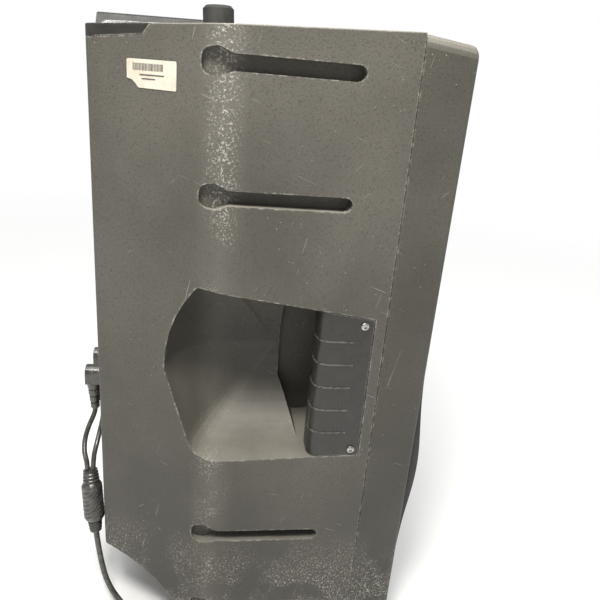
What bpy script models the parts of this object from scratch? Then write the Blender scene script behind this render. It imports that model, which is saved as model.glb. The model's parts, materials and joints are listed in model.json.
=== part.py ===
"""A moulded two-way powered loudspeaker, in metres, +Z up, with its grille facing -Y.

Every named object is one closed solid. Cutters live in a collection of their own.
"""

import math

import bmesh
import bpy
from mathutils import Matrix, Vector

# ---- Driving dimensions -------------------------------------------------------------------
WIDTH = 0.438
SHELL_HEIGHT = 0.708
FOOT_HEIGHT = 0.008
REAR_DEPTH = 0.308
BEZEL_DEPTH = 0.055
GRILLE_PROUD = 0.025
WALL = 0.004
GAP = 0.0003
REAR_HALF_WIDTH = 0.160
TOP_FALL = 0.050
CREASE_RADIUS = 0.070
EDGE_RADIUS = 0.012
ARC_SAG = 0.0005
LARGE_ROUND = 32
MEDIUM_ROUND = 20
SMALL_ROUND = 12

HALF_WIDTH = WIDTH / 2
BOTTOM_Z = FOOT_HEIGHT
TOP_Z = FOOT_HEIGHT + SHELL_HEIGHT
SEAM_Y = (GRILLE_PROUD + BEZEL_DEPTH - REAR_DEPTH) / 2
REAR_Y = SEAM_Y + REAR_DEPTH
BEZEL_Y = SEAM_Y - BEZEL_DEPTH
CREASE_Y = SEAM_Y + 0.1765
FACET_ANGLE = math.atan2(HALF_WIDTH - REAR_HALF_WIDTH, REAR_Y - CREASE_Y)

# Cove along the bottom rear edge.
COVE_RADIUS = 0.157
COVE_Y = SEAM_Y + 0.344
COVE_Z = TOP_Z - 0.767

# Baffle, woofer and horn.
PANEL_FRONT_Y = SEAM_Y - 0.030
PANEL_THICKNESS = 0.010
WOOFER_Z = TOP_Z - 0.471
WOOFER_HOLE_RADIUS = 0.178
HORN_Z = 0.566
HORN_HALF_WIDTH = 0.158
HORN_HALF_HEIGHT = 0.075
HORN_DEPTH = 0.118
THROAT_RADIUS = 0.0175
PORT_X = 0.163
PORT_Z = 0.062
PORT_RADIUS = 0.034

# Amplifier recess in the rear face.
AMP_HALF_WIDTH = 0.118
AMP_LOW_Z = 0.165
AMP_HIGH_Z = 0.600
AMP_RECESS = 0.022
AMP_LEDGE = 0.006
PANEL_PLATE = 0.002
PLATE_INNER_Y = REAR_Y - AMP_RECESS + GAP
PLATE_OUTER_Y = PLATE_INNER_Y + PANEL_PLATE
JACK_X = (-0.100, -0.050)
JACK_Z = 0.310
LINK_X = 0.000
JACK_RADIUS = 0.0128
LATCH_RISE = 0.0168
INLET_X = 0.072
INLET_Z = 0.215
SWITCH_Z = 0.275
ROCKER_REST = 8.0
KNOB_X = (-0.090, -0.040, 0.010)
KNOB_Z = 0.400
KNOB_RADIUS = 0.0085
BUTTON_X = 0.060

# Side handle pocket and its grip, measured rearwards of the seam and below the top.
POCKET_FRONT = 0.012
GRIP_REBATE_REAR = 0.030
GRIP_LEDGE = 0.0053
GRIP_THICKNESS = 0.004
GRIP_NOSE = 0.071
SCOOP_DEPTH = 0.104
SCOOP_STRAIGHT = 0.036
SCOOP_POLE = (0.105, 0.352)
# Rings in depth and longest outline side, for the pocket itself and for its unseen skin.
SCOOP_FINE = (12, 0.014)
SCOOP_COARSE = (7, 0.060)
FINGER_DEPTH = 0.110
RIB_DROPS = (0.3045, 0.3315, 0.359, 0.387, 0.4155)
GRIP_SCREWS = ((0.023, 0.2855), (0.022, 0.437))
SLOT_DROPS = (0.0395, 0.1595, 0.5565, 0.6670)

# Carry handle cap on the top rear edge.
CAP_FRONT = 0.252
CAP_DROP = 0.028
CROWN_FRONT = 0.202
CROWN_HALF_WIDTH = 0.112
CROWN_RISE = 0.012
HAND_HALF_WIDTH = 0.066
HAND_DEPTH = 0.062
HAND_LOW_Z = TOP_Z - 0.088

# Pegs, feet and pole socket.
PEG_X = 0.184
PEG_Y = SEAM_Y + 0.185
PEG_RADIUS = 0.014
FOOT_X = 0.150
FOOT_Y = (SEAM_Y - 0.022, SEAM_Y + 0.160)
FOOT_RADIUS = 0.017
POLE_Y = SEAM_Y + 0.110
POLE_RADIUS = 0.0182
POLE_DEPTH = 0.085

# Signal cable: two plugs, two tails, a moulded junction, a trunk, a coil and a far plug.
PLUG_AXIS_Y = 0.2115
BOOT_LOW_Z = 0.262
TAIL_DIAMETER = 0.006
TRUNK_DIAMETER = 0.007
JUNCTION_TOP = Vector((-0.1380, 0.2125, 0.195))
JUNCTION_LOW = Vector((-0.1500, 0.2065, 0.113))
JUNCTION_RADIUS = 0.0125
FLOOR_CORD_Z = TRUNK_DIAMETER / 2 + 0.0005
COIL_CENTRE = (-0.360, 0.085)
COIL_RADIUS = 0.0385
COIL_TURNS = 4
COIL_PITCH = 0.0076
TAIL_ROUTE_1 = (
    (-0.1000, PLUG_AXIS_Y, BOOT_LOW_Z - 3 * GAP),
    (-0.1003, 0.2120, 0.2565),
    (-0.1040, 0.2145, 0.2490),
    (-0.1105, 0.2190, 0.2380),
    (-0.1190, 0.2218, 0.2250),
    (-0.1290, 0.2205, 0.2145),
    (-0.1364, 0.2167, 0.2054),
    (-0.1379, 0.2160, 0.1958),
)
TAIL_ROUTE_2 = (
    (-0.0500, PLUG_AXIS_Y, BOOT_LOW_Z - 3 * GAP),
    (-0.0504, PLUG_AXIS_Y, 0.2565),
    (-0.0545, 0.2105, 0.2485),
    (-0.0640, 0.2090, 0.2415),
    (-0.0850, 0.2062, 0.2380),
    (-0.1050, 0.2052, 0.2345),
    (-0.1215, 0.2064, 0.2250),
    (-0.1325, 0.2085, 0.2125),
    (-0.1379, 0.2092, 0.1963),
)
TRUNK_ROUTE = (
    (-0.1501, 0.2064, 0.1126),
    (-0.1535, 0.2035, 0.0900),
    (-0.1560, 0.2000, 0.0670),
    (-0.1575, 0.1950, 0.0420),
    (-0.1600, 0.1870, 0.0220),
    (-0.1680, 0.1740, 0.0085),
    (-0.1850, 0.1580, FLOOR_CORD_Z),
    (-0.2150, 0.1430, FLOOR_CORD_Z),
    (-0.2550, 0.1320, FLOOR_CORD_Z),
    (-0.3000, 0.1262, FLOOR_CORD_Z),
    (-0.3325, 0.1243, FLOOR_CORD_Z),
)
COIL_TOP_Z = FLOOR_CORD_Z + COIL_TURNS * COIL_PITCH
END_ROUTE = (
    (-0.3880, 0.1243, COIL_TOP_Z - 0.0020),
    (-0.4080, 0.1260, COIL_TOP_Z - 0.0105),
    (-0.4280, 0.1290, COIL_TOP_Z - 0.0190),
    (-0.4450, 0.1320, 0.0110),
    (-0.4600, 0.1345, 0.0102),
)

FACING_FRONT = (math.pi / 2, 0.0, 0.0)
FACING_REAR = (math.pi / 2, 0.0, math.pi)
FACING_UP = (0.0, 0.0, 0.0)

AXES = {
    "X": Matrix(((0, 0, 1), (1, 0, 0), (0, 1, 0))),
    "Y": Matrix(((1, 0, 0), (0, 0, -1), (0, 1, 0))),
    "Z": Matrix.Identity(3),
}


# ---- Scene and modelling helpers ----------------------------------------------------------
def clear_scene():
    for item in list(bpy.data.objects):
        bpy.data.objects.remove(item, do_unlink=True)


def new_collection(name):
    collection = bpy.data.collections.new(name)
    bpy.context.scene.collection.children.link(collection)
    return collection


def material(name, colour, roughness, metallic=0.0):
    made = bpy.data.materials.new(name)
    made.use_nodes = True
    shader = made.node_tree.nodes["Principled BSDF"]
    shader.inputs["Base Color"].default_value = (*colour, 1.0)
    shader.inputs["Roughness"].default_value = roughness
    shader.inputs["Metallic"].default_value = metallic
    return made


def place(mesh, name, finish=None, location=(0, 0, 0), rotation=(0, 0, 0)):
    """Links a mesh as a named part, or as a hidden cutter when it has no finish."""
    item = bpy.data.objects.new(name, mesh)
    item.location = location
    item.rotation_euler = rotation
    if finish is None:
        CUTTERS.objects.link(item)
        item.hide_render = True
        item.display_type = "WIRE"
    else:
        PARTS.objects.link(item)
        mesh.materials.clear()
        mesh.materials.append(material(name, *finish))
    return item


def tidy(bm):
    bmesh.ops.remove_doubles(bm, verts=bm.verts, dist=1e-6)
    bmesh.ops.recalc_face_normals(bm, faces=bm.faces)


def baked(item):
    """Replaces an object's mesh with what its modifiers make of it."""
    graph = bpy.context.evaluated_depsgraph_get()
    mesh = bpy.data.meshes.new_from_object(item.evaluated_get(graph))
    bm = bmesh.new()
    bm.from_mesh(mesh)
    bmesh.ops.recalc_face_normals(bm, faces=bm.faces)
    bm.to_mesh(mesh)
    bm.free()
    item.modifiers.clear()
    item.data = mesh
    return item


def combine(item, others, operation):
    for other in others:
        modifier = item.modifiers.new(operation.lower(), "BOOLEAN")
        modifier.operation = operation
        modifier.solver = "EXACT"
        modifier.object = other
    return baked(item)


def cut(item, *cutters):
    return combine(item, cutters, "DIFFERENCE")


def join(item, *others):
    return combine(item, others, "UNION")


def keep_inside(item, *limits):
    return combine(item, limits, "INTERSECT")


def bevelled(item, width, segments=3, angle=40):
    modifier = item.modifiers.new("rounded", "BEVEL")
    modifier.width = width
    modifier.segments = segments
    modifier.limit_method = "ANGLE"
    modifier.angle_limit = math.radians(angle)
    return baked(item)


def rounded_outline(corners):
    """Turns (a, b, radius) corners into outline points with an arc at each corner.

    An arc's chords stay within ARC_SAG of it.
    """
    points = []
    for index, (a, b, radius) in enumerate(corners):
        corner = Vector((a, b))
        if radius <= 0:
            points.append(corner)
            continue
        before = (Vector(corners[index - 1][:2]) - corner).normalized()
        after = (Vector(corners[(index + 1) % len(corners)][:2]) - corner).normalized()
        half = before.angle(after) / 2
        centre = corner + (before + after).normalized() * (radius / math.sin(half))
        start = corner + before * (radius / math.tan(half)) - centre
        end = corner + after * (radius / math.tan(half)) - centre
        first = math.atan2(start.y, start.x)
        turn = math.remainder(math.atan2(end.y, end.x) - first, 2 * math.pi)
        widest = min(2 * math.acos(1 - min(ARC_SAG / radius, 0.2)), math.radians(46))
        steps = max(2, math.ceil(abs(turn) / widest))
        for step in range(steps + 1):
            angle = first + turn * step / steps
            points.append(centre + radius * Vector((math.cos(angle), math.sin(angle))))
    return points


def evenly_spaced(outline, longest):
    """The same closed outline with no side longer than asked for."""
    points = []
    for start, end in zip(outline, [*outline[1:], outline[0]]):
        pieces = max(1, math.ceil((end - start).length / longest))
        points.extend(start.lerp(end, step / pieces) for step in range(pieces))
    return points


def rectangle(half_a, half_b, radius, a=0.0, b=0.0):
    return rounded_outline(
        [
            (a - half_a, b - half_b, radius),
            (a + half_a, b - half_b, radius),
            (a + half_a, b + half_b, radius),
            (a - half_a, b + half_b, radius),
        ]
    )


def curve_mesh(curve):
    """Evaluates a curve and welds its loose caps."""
    source = bpy.data.objects.new("outline", curve)
    CUTTERS.objects.link(source)
    graph = bpy.context.evaluated_depsgraph_get()
    mesh = bpy.data.meshes.new_from_object(source.evaluated_get(graph))
    bpy.data.objects.remove(source)
    bm = bmesh.new()
    bm.from_mesh(mesh)
    tidy(bm)
    bm.to_mesh(mesh)
    bm.free()
    return mesh


def prism(name, outline, axis, low, high, finish=None):
    """A flat outline pulled along X, Y or Z between two places."""
    curve = bpy.data.curves.new(name, "CURVE")
    curve.dimensions = "2D"
    curve.fill_mode = "BOTH"
    curve.extrude = (high - low) / 2
    spline = curve.splines.new("POLY")
    spline.points.add(len(outline) - 1)
    spline.use_cyclic_u = True
    for point, (a, b) in zip(spline.points, outline):
        point.co = (a, b, 0.0, 1.0)
    mesh = curve_mesh(curve)
    mesh.transform(AXES[axis].to_4x4())
    shift = Vector((axis == "X", axis == "Y", axis == "Z")) * ((low + high) / 2)
    mesh.transform(Matrix.Translation(shift))
    return place(mesh, name, finish)


def box(name, low, high, finish=None):
    bm = bmesh.new()
    bmesh.ops.create_cube(bm, size=1.0)
    size = Vector(high) - Vector(low)
    bmesh.ops.scale(bm, vec=size, verts=bm.verts)
    bmesh.ops.translate(bm, vec=Vector(low) + size / 2, verts=bm.verts)
    mesh = bpy.data.meshes.new(name)
    bm.to_mesh(mesh)
    bm.free()
    return place(mesh, name, finish)


def cylinder(name, radius, low, high, count, facing, centre, finish=None, top_radius=None):
    """A round bar along the local Z of its facing, from low to high of its centre."""
    bm = bmesh.new()
    top = radius if top_radius is None else top_radius
    bmesh.ops.create_cone(
        bm, cap_ends=True, segments=count, radius1=radius, radius2=top, depth=high - low
    )
    bmesh.ops.translate(bm, vec=(0, 0, (low + high) / 2), verts=bm.verts)
    mesh = bpy.data.meshes.new(name)
    bm.to_mesh(mesh)
    bm.free()
    return place(mesh, name, finish, centre, facing)


def turned(name, profile, count, facing, centre, finish=None, closed=True):
    """A (radius, height) profile turned round the local Z of its facing."""
    bm = bmesh.new()
    verts = [bm.verts.new((radius, 0.0, height)) for radius, height in profile]
    for first, second in zip(verts, verts[1:]):
        bm.edges.new((first, second))
    if closed:
        bm.edges.new((verts[-1], verts[0]))
    mesh = bpy.data.meshes.new(name)
    bm.to_mesh(mesh)
    bm.free()
    item = place(mesh, name, finish, centre, facing)
    screw = item.modifiers.new("turned", "SCREW")
    screw.steps = count
    screw.render_steps = count
    screw.use_merge_vertices = True
    screw.merge_threshold = 1e-5
    baked(item)
    if finish is not None:
        item.data.materials.clear()
        item.data.materials.append(bpy.data.materials[name])
    return item


def smooth_route(route, spacing):
    """Evenly spaced points on a Catmull-Rom curve through a route's own points."""
    points = [Vector(point) for point in route]
    padded = [2 * points[0] - points[1], *points, 2 * points[-1] - points[-2]]
    fine = []
    for a, b, c, d in zip(padded, padded[1:], padded[2:], padded[3:]):
        for step in range(24):
            t = step / 24
            fine.append(
                0.5
                * (
                    2 * b
                    + (c - a) * t
                    + (2 * a - 5 * b + 4 * c - d) * t**2
                    + (3 * b - a - 3 * c + d) * t**3
                )
            )
    fine.append(points[-1])
    kept = [fine[0]]
    for point in fine[1:-1]:
        if (point - kept[-1]).length >= spacing:
            kept.append(point)
    if (fine[-1] - kept[-1]).length < spacing / 2:
        kept.pop()
    return [*kept, fine[-1]]


def tube(name, points, diameter, finish=None):
    curve = bpy.data.curves.new(name, "CURVE")
    curve.dimensions = "3D"
    curve.bevel_depth = diameter / 2
    curve.bevel_resolution = 2
    curve.use_fill_caps = True
    spline = curve.splines.new("POLY")
    spline.points.add(len(points) - 1)
    for point, place_at in zip(spline.points, points):
        point.co = (*place_at, 1.0)
    return place(curve_mesh(curve), name, finish)


def joined_cutters(name, items):
    """Merges separate cutter solids into one cutter object."""
    bm = bmesh.new()
    for item in items:
        other = item.data.copy()
        other.transform(item.matrix_basis)
        bm.from_mesh(other)
        bpy.data.meshes.remove(other)
        bpy.data.objects.remove(item)
    mesh = bpy.data.meshes.new(name)
    bm.to_mesh(mesh)
    bm.free()
    return place(mesh, name)


def behind_seam(distance):
    return SEAM_Y + distance


def below_top(distance):
    return TOP_Z - distance


# ---- Finishes: colour, roughness, metallic ------------------------------------------------
SHELL = ((0.085, 0.080, 0.068), 0.62)
BEZEL = ((0.070, 0.067, 0.055), 0.60)
GLOSS = ((0.022, 0.021, 0.019), 0.28)
RUBBER = ((0.018, 0.018, 0.018), 0.80)
STEEL = ((0.45, 0.44, 0.42), 0.38, 1.0)
DARK_STEEL = ((0.030, 0.030, 0.031), 0.50, 1.0)
ALUMINIUM = ((0.32, 0.32, 0.33), 0.42, 1.0)
FERRITE = ((0.035, 0.035, 0.037), 0.70)
PAPER = ((0.030, 0.028, 0.026), 0.90)
CLOTH = ((0.230, 0.120, 0.045), 0.90)
COPPER = ((0.60, 0.26, 0.12), 0.35, 1.0)
LABEL = ((0.82, 0.80, 0.72), 0.60)
CIRCUIT = ((0.020, 0.090, 0.045), 0.50)
JACKET = ((0.028, 0.027, 0.025), 0.50)
LAMP = ((0.05, 0.30, 0.07), 0.25)


# ---- Rear enclosure -----------------------------------------------------------------------
def shell_body(name, inset, front_y):
    """The enclosure's outer form, or the same form shrunk by inset."""
    half = HALF_WIDTH - inset
    rear_half = REAR_HALF_WIDTH - inset
    rear = REAR_Y - inset
    outline = rounded_outline(
        [
            (-half, front_y, 0),
            (-half, CREASE_Y, CREASE_RADIUS),
            (-rear_half, rear, 0.008),
            (rear_half, rear, 0.008),
            (half, CREASE_Y, CREASE_RADIUS),
            (half, front_y, 0),
        ]
    )
    body = prism(name, outline, "Z", BOTTOM_Z + inset, TOP_Z - inset)
    for vertex in body.data.vertices:
        if vertex.co.z > 0.5:
            vertex.co.z -= TOP_FALL * (vertex.co.y - SEAM_Y)
    bevelled(body, EDGE_RADIUS - inset, 3, 50)
    front = box(name + "_front", (-1, front_y - 0.1, -1), (1, front_y + 0.030, 1))
    cove = cylinder(
        name + "_cove", COVE_RADIUS + inset, -0.3, 0.3, 44, (0, math.pi / 2, 0), (0, COVE_Y, COVE_Z)
    )
    return cut(body, front, cove)


def pocket_top(distance):
    """Height of the pocket's upper edge, which rises rearwards."""
    return below_top(0.2780 - 0.140 * (distance - POCKET_FRONT))


def pocket_low(distance):
    """Height of the pocket's lower edge, which falls rearwards."""
    return below_top(0.4450 + 0.050 * (distance - POCKET_FRONT))


def pocket_corners(front, grow):
    """Side handle outline as (y, z, radius) corners, clockwise from the front top."""
    return [
        (behind_seam(front - grow), pocket_top(front) + grow, 0.003),
        (behind_seam(0.198 + grow), pocket_top(0.198) + grow, 0.004),
        (behind_seam(0.232 + grow), below_top(0.2963), 0.150),
        (behind_seam(0.232 + grow), below_top(0.3520), 0.005),
        (behind_seam(0.199 + grow), pocket_low(0.199) - grow, 0.026),
        (behind_seam(front - grow), pocket_low(front) - grow, 0.003),
    ]


def facet_setback(y):
    """How far the rear facet stands inside the widest part of the shell at y."""
    return max(y - CREASE_Y, 0.0) * math.tan(FACET_ANGLE)


def pocket_scoop(name, grow):
    """The scoop: its outline on the shell, drawn in to a point as it goes deeper.

    Its roof and floor run straight in for SCOOP_STRAIGHT, past the grip's nose, and then close.
    """
    rings_deep, longest = SCOOP_COARSE if grow else SCOOP_FINE
    outline = evenly_spaced(rounded_outline(pocket_corners(GRIP_REBATE_REAR, grow)), longest)
    pole = Vector((behind_seam(SCOOP_POLE[0]), below_top(SCOOP_POLE[1])))
    full = SCOOP_DEPTH + grow
    bm = bmesh.new()
    rings = [[bm.verts.new((HALF_WIDTH + 0.02, y, z)) for y, z in outline]]
    for step in range(rings_deep):
        angle = math.pi / 2 * step / rings_deep
        depth = full * math.sin(angle)
        closing = max(depth - SCOOP_STRAIGHT, 0.0) / (full - SCOOP_STRAIGHT)
        across = math.cos(angle)
        upright = math.sqrt(1 - closing**2)
        ring = []
        for point in outline:
            x = HALF_WIDTH - facet_setback(point.x) * across - depth
            y = pole.x + (point.x - pole.x) * across
            z = pole.y + (point.y - pole.y) * upright
            ring.append(bm.verts.new((x, y, z)))
        rings.append(ring)
    count = len(outline)
    for outer, inner in zip(rings, rings[1:]):
        for step in range(count):
            following = (step + 1) % count
            bm.faces.new((outer[step], outer[following], inner[following], inner[step]))
    tip = bm.verts.new((HALF_WIDTH - full, pole.x, pole.y))
    for step in range(count):
        bm.faces.new((rings[-1][step], rings[-1][(step + 1) % count], tip))
    bm.faces.new(rings[0])
    bmesh.ops.triangulate(bm, faces=bm.faces)
    bmesh.ops.recalc_face_normals(bm, faces=bm.faces)
    mesh = bpy.data.meshes.new(name)
    bm.to_mesh(mesh)
    bm.free()
    return place(mesh, name)


def deep_corners(grow):
    """Outline of the deep finger space behind the grip, as (y, z, radius) corners.

    Its front is raised at the bottom to clear the woofer's frame.
    """
    front = behind_seam(0.018) - grow
    rear = behind_seam(0.100) + grow
    raised = below_top(0.438) - grow
    return [
        (front, below_top(0.284) + grow, 0.012),
        (rear, below_top(0.284) + grow, 0.012),
        (rear, below_top(0.393), 0.010),
        (behind_seam(0.0785) + grow, below_top(0.4485) - grow, 0.005),
        (behind_seam(0.060), below_top(0.4475) - grow, 0.005),
        (behind_seam(0.047), raised, 0.005),
        (front, raised, 0.012),
    ]


def mirrored(item, side, name):
    """Moves a cutter made for +X to the side asked for."""
    item.name = name
    if side < 0:
        item.data.transform(Matrix.Scale(-1, 4, (1, 0, 0)))
        item.data.flip_normals()
    return item


def handle_pocket(name, side, grow):
    """The scooped hand pocket, grown outwards by the wall to form its outer skin."""
    scoop = pocket_scoop(name, grow)
    deep = prism(
        name + "_deep",
        rounded_outline(deep_corners(grow)),
        "X",
        HALF_WIDTH - FINGER_DEPTH - grow,
        HALF_WIDTH - 0.026,
    )
    return mirrored(join(scoop, deep, grip_rebate(name + "_rebate", grow)), side, name)


def grip_rebate(name, grow):
    """The shallow seat that the grip's plate lies in, with a ledge under its front edge."""
    corners = [
        (behind_seam(POCKET_FRONT - grow), pocket_top(POCKET_FRONT) + grow, 0.0008),
        (behind_seam(0.060), pocket_top(0.060) + grow - 0.0004, 0.0),
        (behind_seam(0.060), pocket_low(0.060) - grow + 0.0004, 0.0),
        (behind_seam(POCKET_FRONT - grow), pocket_low(POCKET_FRONT) - grow, 0.0008),
    ]
    depth_x = HALF_WIDTH - GRIP_LEDGE - grow
    return prism(name, rounded_outline(corners), "X", depth_x, HALF_WIDTH + 0.02)


def slot_cutter(name, side, drop, grow):
    """A long shallow recess that ends in a flared head at the crease."""
    half = 0.00725 + grow
    head = 0.0130 + grow
    z = below_top(drop)
    front = behind_seam(0.0505) - grow
    outline = rounded_outline(
        [
            (front, z - half, half * 0.98),
            (behind_seam(0.170), z - half, 0.010),
            (behind_seam(0.184), z - head, 0.006),
            (behind_seam(0.199) + grow, z - head * 0.8, 0.009),
            (behind_seam(0.199) + grow, z + head * 0.8, 0.009),
            (behind_seam(0.184), z + head, 0.006),
            (behind_seam(0.170), z + half, 0.010),
            (front, z + half, half * 0.98),
        ]
    )
    depth_x = HALF_WIDTH - 0.016 - grow
    return mirrored(prism(name, outline, "X", depth_x, HALF_WIDTH + 0.02), side, name)


def cap_outline(grow):
    """Corner of the shell that the carry handle cap takes the place of, in (y, z)."""
    return [
        Vector((REAR_Y + 0.02, below_top(CAP_DROP + 0.0008 + grow))),
        Vector((behind_seam(CAP_FRONT) - grow, below_top(CAP_DROP - 0.0062 + grow))),
        Vector((behind_seam(0.240) - grow, below_top(0.0070 + grow * 0.6))),
        Vector((behind_seam(0.240) - grow, TOP_Z + 0.03)),
        Vector((REAR_Y + 0.02, TOP_Z + 0.03)),
    ]


def rear_enclosure():
    shell = shell_body("shell_outer", 0.0, SEAM_Y - 0.050)
    void = shell_body("shell_void", WALL, SEAM_Y - 0.080)
    sides = (("left", -1), ("right", 1))
    skins = []
    cuts = []
    for label, side in sides:
        skins.append(handle_pocket("pocket_skin_" + label, side, WALL))
        cuts.append(handle_pocket("pocket_" + label, side, 0.0))
    skins.append(
        joined_cutters(
            "slot_skins",
            [slot_cutter("slot_skin", side, drop, 0.003) for _, side in sides for drop in SLOT_DROPS],
        )
    )
    cuts.append(
        joined_cutters(
            "slots",
            [slot_cutter("slot", side, drop, 0.0) for _, side in sides for drop in SLOT_DROPS],
        )
    )
    skins.append(prism("cap_skin", cap_outline(WALL), "X", -0.3, 0.3))
    cuts.append(prism("cap_seat", cap_outline(GAP), "X", -0.3, 0.3))
    hand_front = REAR_Y - HAND_DEPTH
    skins.append(
        box(
            "hand_skin",
            (-HAND_HALF_WIDTH - 0.004 - WALL, hand_front - WALL, HAND_LOW_Z - WALL),
            (HAND_HALF_WIDTH + 0.004 + WALL, REAR_Y + 0.02, TOP_Z),
        )
    )
    cuts.append(
        box(
            "hand_pocket",
            (-HAND_HALF_WIDTH - 0.004, hand_front, HAND_LOW_Z),
            (HAND_HALF_WIDTH + 0.004, REAR_Y + 0.02, below_top(CAP_DROP - 0.010)),
        )
    )
    middle = (AMP_LOW_Z + AMP_HIGH_Z) / 2
    half_height = (AMP_HIGH_Z - AMP_LOW_Z) / 2
    floor_y = REAR_Y - AMP_RECESS
    skins.append(
        prism(
            "amp_skin",
            rectangle(AMP_HALF_WIDTH + WALL, half_height + WALL, 0.010, 0.0, middle),
            "Y",
            floor_y - WALL,
            REAR_Y + 0.02,
        )
    )
    cuts.append(
        prism(
            "amp_recess",
            rectangle(AMP_HALF_WIDTH, half_height, 0.006, 0.0, middle),
            "Y",
            floor_y,
            REAR_Y + 0.02,
        )
    )
    cuts.append(
        prism(
            "amp_opening",
            rectangle(AMP_HALF_WIDTH - AMP_LEDGE, half_height - AMP_LEDGE, 0.004, 0.0, middle),
            "Y",
            floor_y - 0.02,
            floor_y + 0.01,
        )
    )
    cuts.append(
        cylinder(
            "pole_hole", POLE_RADIUS + 0.0035, -0.02, 0.02, 28, FACING_UP, (0, POLE_Y, BOTTOM_Z)
        )
    )
    cut(void, *skins)
    cut(shell, void)
    cut(shell, *cuts)
    seam = box("seam_plane", (-1, SEAM_Y - 0.2, -1), (1, SEAM_Y, 1))
    cut(shell, seam)
    return place(shell.data.copy(), "rear_enclosure", SHELL)


def side_grip(label, side):
    """The ribbed hand grip that closes the front of a side pocket and wraps round its nose."""
    face = HALF_WIDTH - 0.0006
    inner = face - GRIP_THICKNESS
    nose = behind_seam(GRIP_NOSE)
    front = behind_seam(POCKET_FRONT) + 0.0006
    section = rounded_outline(
        [
            (face, front, 0.0),
            (face, nose, 0.013),
            (face - 0.034, nose, 0.0015),
            (face - 0.034, nose - GRIP_THICKNESS, 0.0015),
            (inner, nose - GRIP_THICKNESS, 0.009),
            (inner, front, 0.0),
        ]
    )
    grip = prism("grip_" + label, section, "Z", below_top(0.460), below_top(0.255))
    span = [
        Vector((behind_seam(0.0), pocket_top(0.0) - 0.0008)),
        Vector((behind_seam(0.09), pocket_top(0.09) - 0.0008)),
        Vector((behind_seam(0.09), pocket_low(0.09) + 0.0008)),
        Vector((behind_seam(0.0), pocket_low(0.0) + 0.0008)),
    ]
    keep_inside(grip, prism("grip_span_" + label, span, "X", 0.1, 0.3))
    rib_section = rounded_outline(
        [
            (face + 0.0009, behind_seam(0.031), 0.0),
            (face + 0.0009, nose + 0.0009, 0.0139),
            (face - 0.024, nose + 0.0009, 0.0),
            (face - 0.024, nose - 0.001, 0.0),
            (face - 0.001, nose - 0.001, 0.012),
            (face - 0.001, behind_seam(0.031), 0.0),
        ]
    )
    ribs = [
        prism("rib", rib_section, "Z", below_top(drop) - 0.0009, below_top(drop) + 0.0009)
        for drop in RIB_DROPS
    ]
    join(grip, joined_cutters("ribs_" + label, ribs))
    holes = [
        cylinder(
            "hole",
            0.0024,
            -0.1,
            0.1,
            16,
            (0, math.pi / 2, 0),
            (HALF_WIDTH, behind_seam(y), below_top(z)),
        )
        for y, z in GRIP_SCREWS
    ]
    cut(grip, joined_cutters("grip_holes_" + label, holes))
    mirrored(grip, side, "grip_body_" + label)
    return place(grip.data.copy(), "side_grip_" + label, GLOSS)


def grip_screws(label, side):
    for number, (y, z) in enumerate(GRIP_SCREWS, 1):
        name = f"grip_screw_{label}_{number}"
        head = 0.0045
        profile = [
            (0.0, 0.0030),
            (head * 0.55, 0.0028),
            (head, 0.0010),
            (head, GAP),
            (0.0020, GAP),
            (0.0020, -0.0042),
            (0.0, -0.0042),
        ]
        turned(
            name,
            profile,
            SMALL_ROUND,
            (0, side * math.pi / 2, 0),
            (side * (HALF_WIDTH - 0.0006), behind_seam(y), below_top(z)),
            STEEL,
            closed=False,
        )


def top_handle():
    """Cap over the top rear edge, with a crowned middle and a finger groove under it."""
    cap = shell_body("cap_body", 0.0, SEAM_Y - 0.030)
    keep_inside(cap, prism("cap_limit", cap_outline(0.0), "X", -0.3, 0.3))
    half = CROWN_HALF_WIDTH
    base = TOP_Z + 0.0006
    crown_corners = [
        (-half, base, 0.0),
        (half, base, 0.0),
        (half - 0.012, TOP_Z + CROWN_RISE * 0.55, 0.020),
        (0.0, TOP_Z + CROWN_RISE * 1.05, 0.250),
        (-half + 0.012, TOP_Z + CROWN_RISE * 0.55, 0.020),
    ]
    crown = prism(
        "crown",
        rounded_outline(crown_corners),
        "Y",
        behind_seam(CROWN_FRONT),
        REAR_Y - 0.0006,
    )
    for vertex in crown.data.vertices:
        vertex.co.z -= TOP_FALL * (vertex.co.y - SEAM_Y) * (
            1.0 if vertex.co.z < TOP_Z + 0.001 else 0.4
        )
    bevelled(crown, 0.003, 2, 60)
    riser = box(
        "crown_riser",
        (-half + 0.004, behind_seam(CAP_FRONT + 0.002), TOP_Z - 0.022),
        (half - 0.004, REAR_Y - 0.010, TOP_Z - 0.006),
    )
    join(cap, crown, riser)
    groove = box(
        "finger_groove",
        (-HAND_HALF_WIDTH, behind_seam(0.258), TOP_Z - 0.05),
        (HAND_HALF_WIDTH, REAR_Y - 0.010, TOP_Z - 0.009),
    )
    bevelled(groove, 0.005, 2)
    cut(cap, groove)
    return place(cap.data.copy(), "top_handle", GLOSS)


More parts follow.
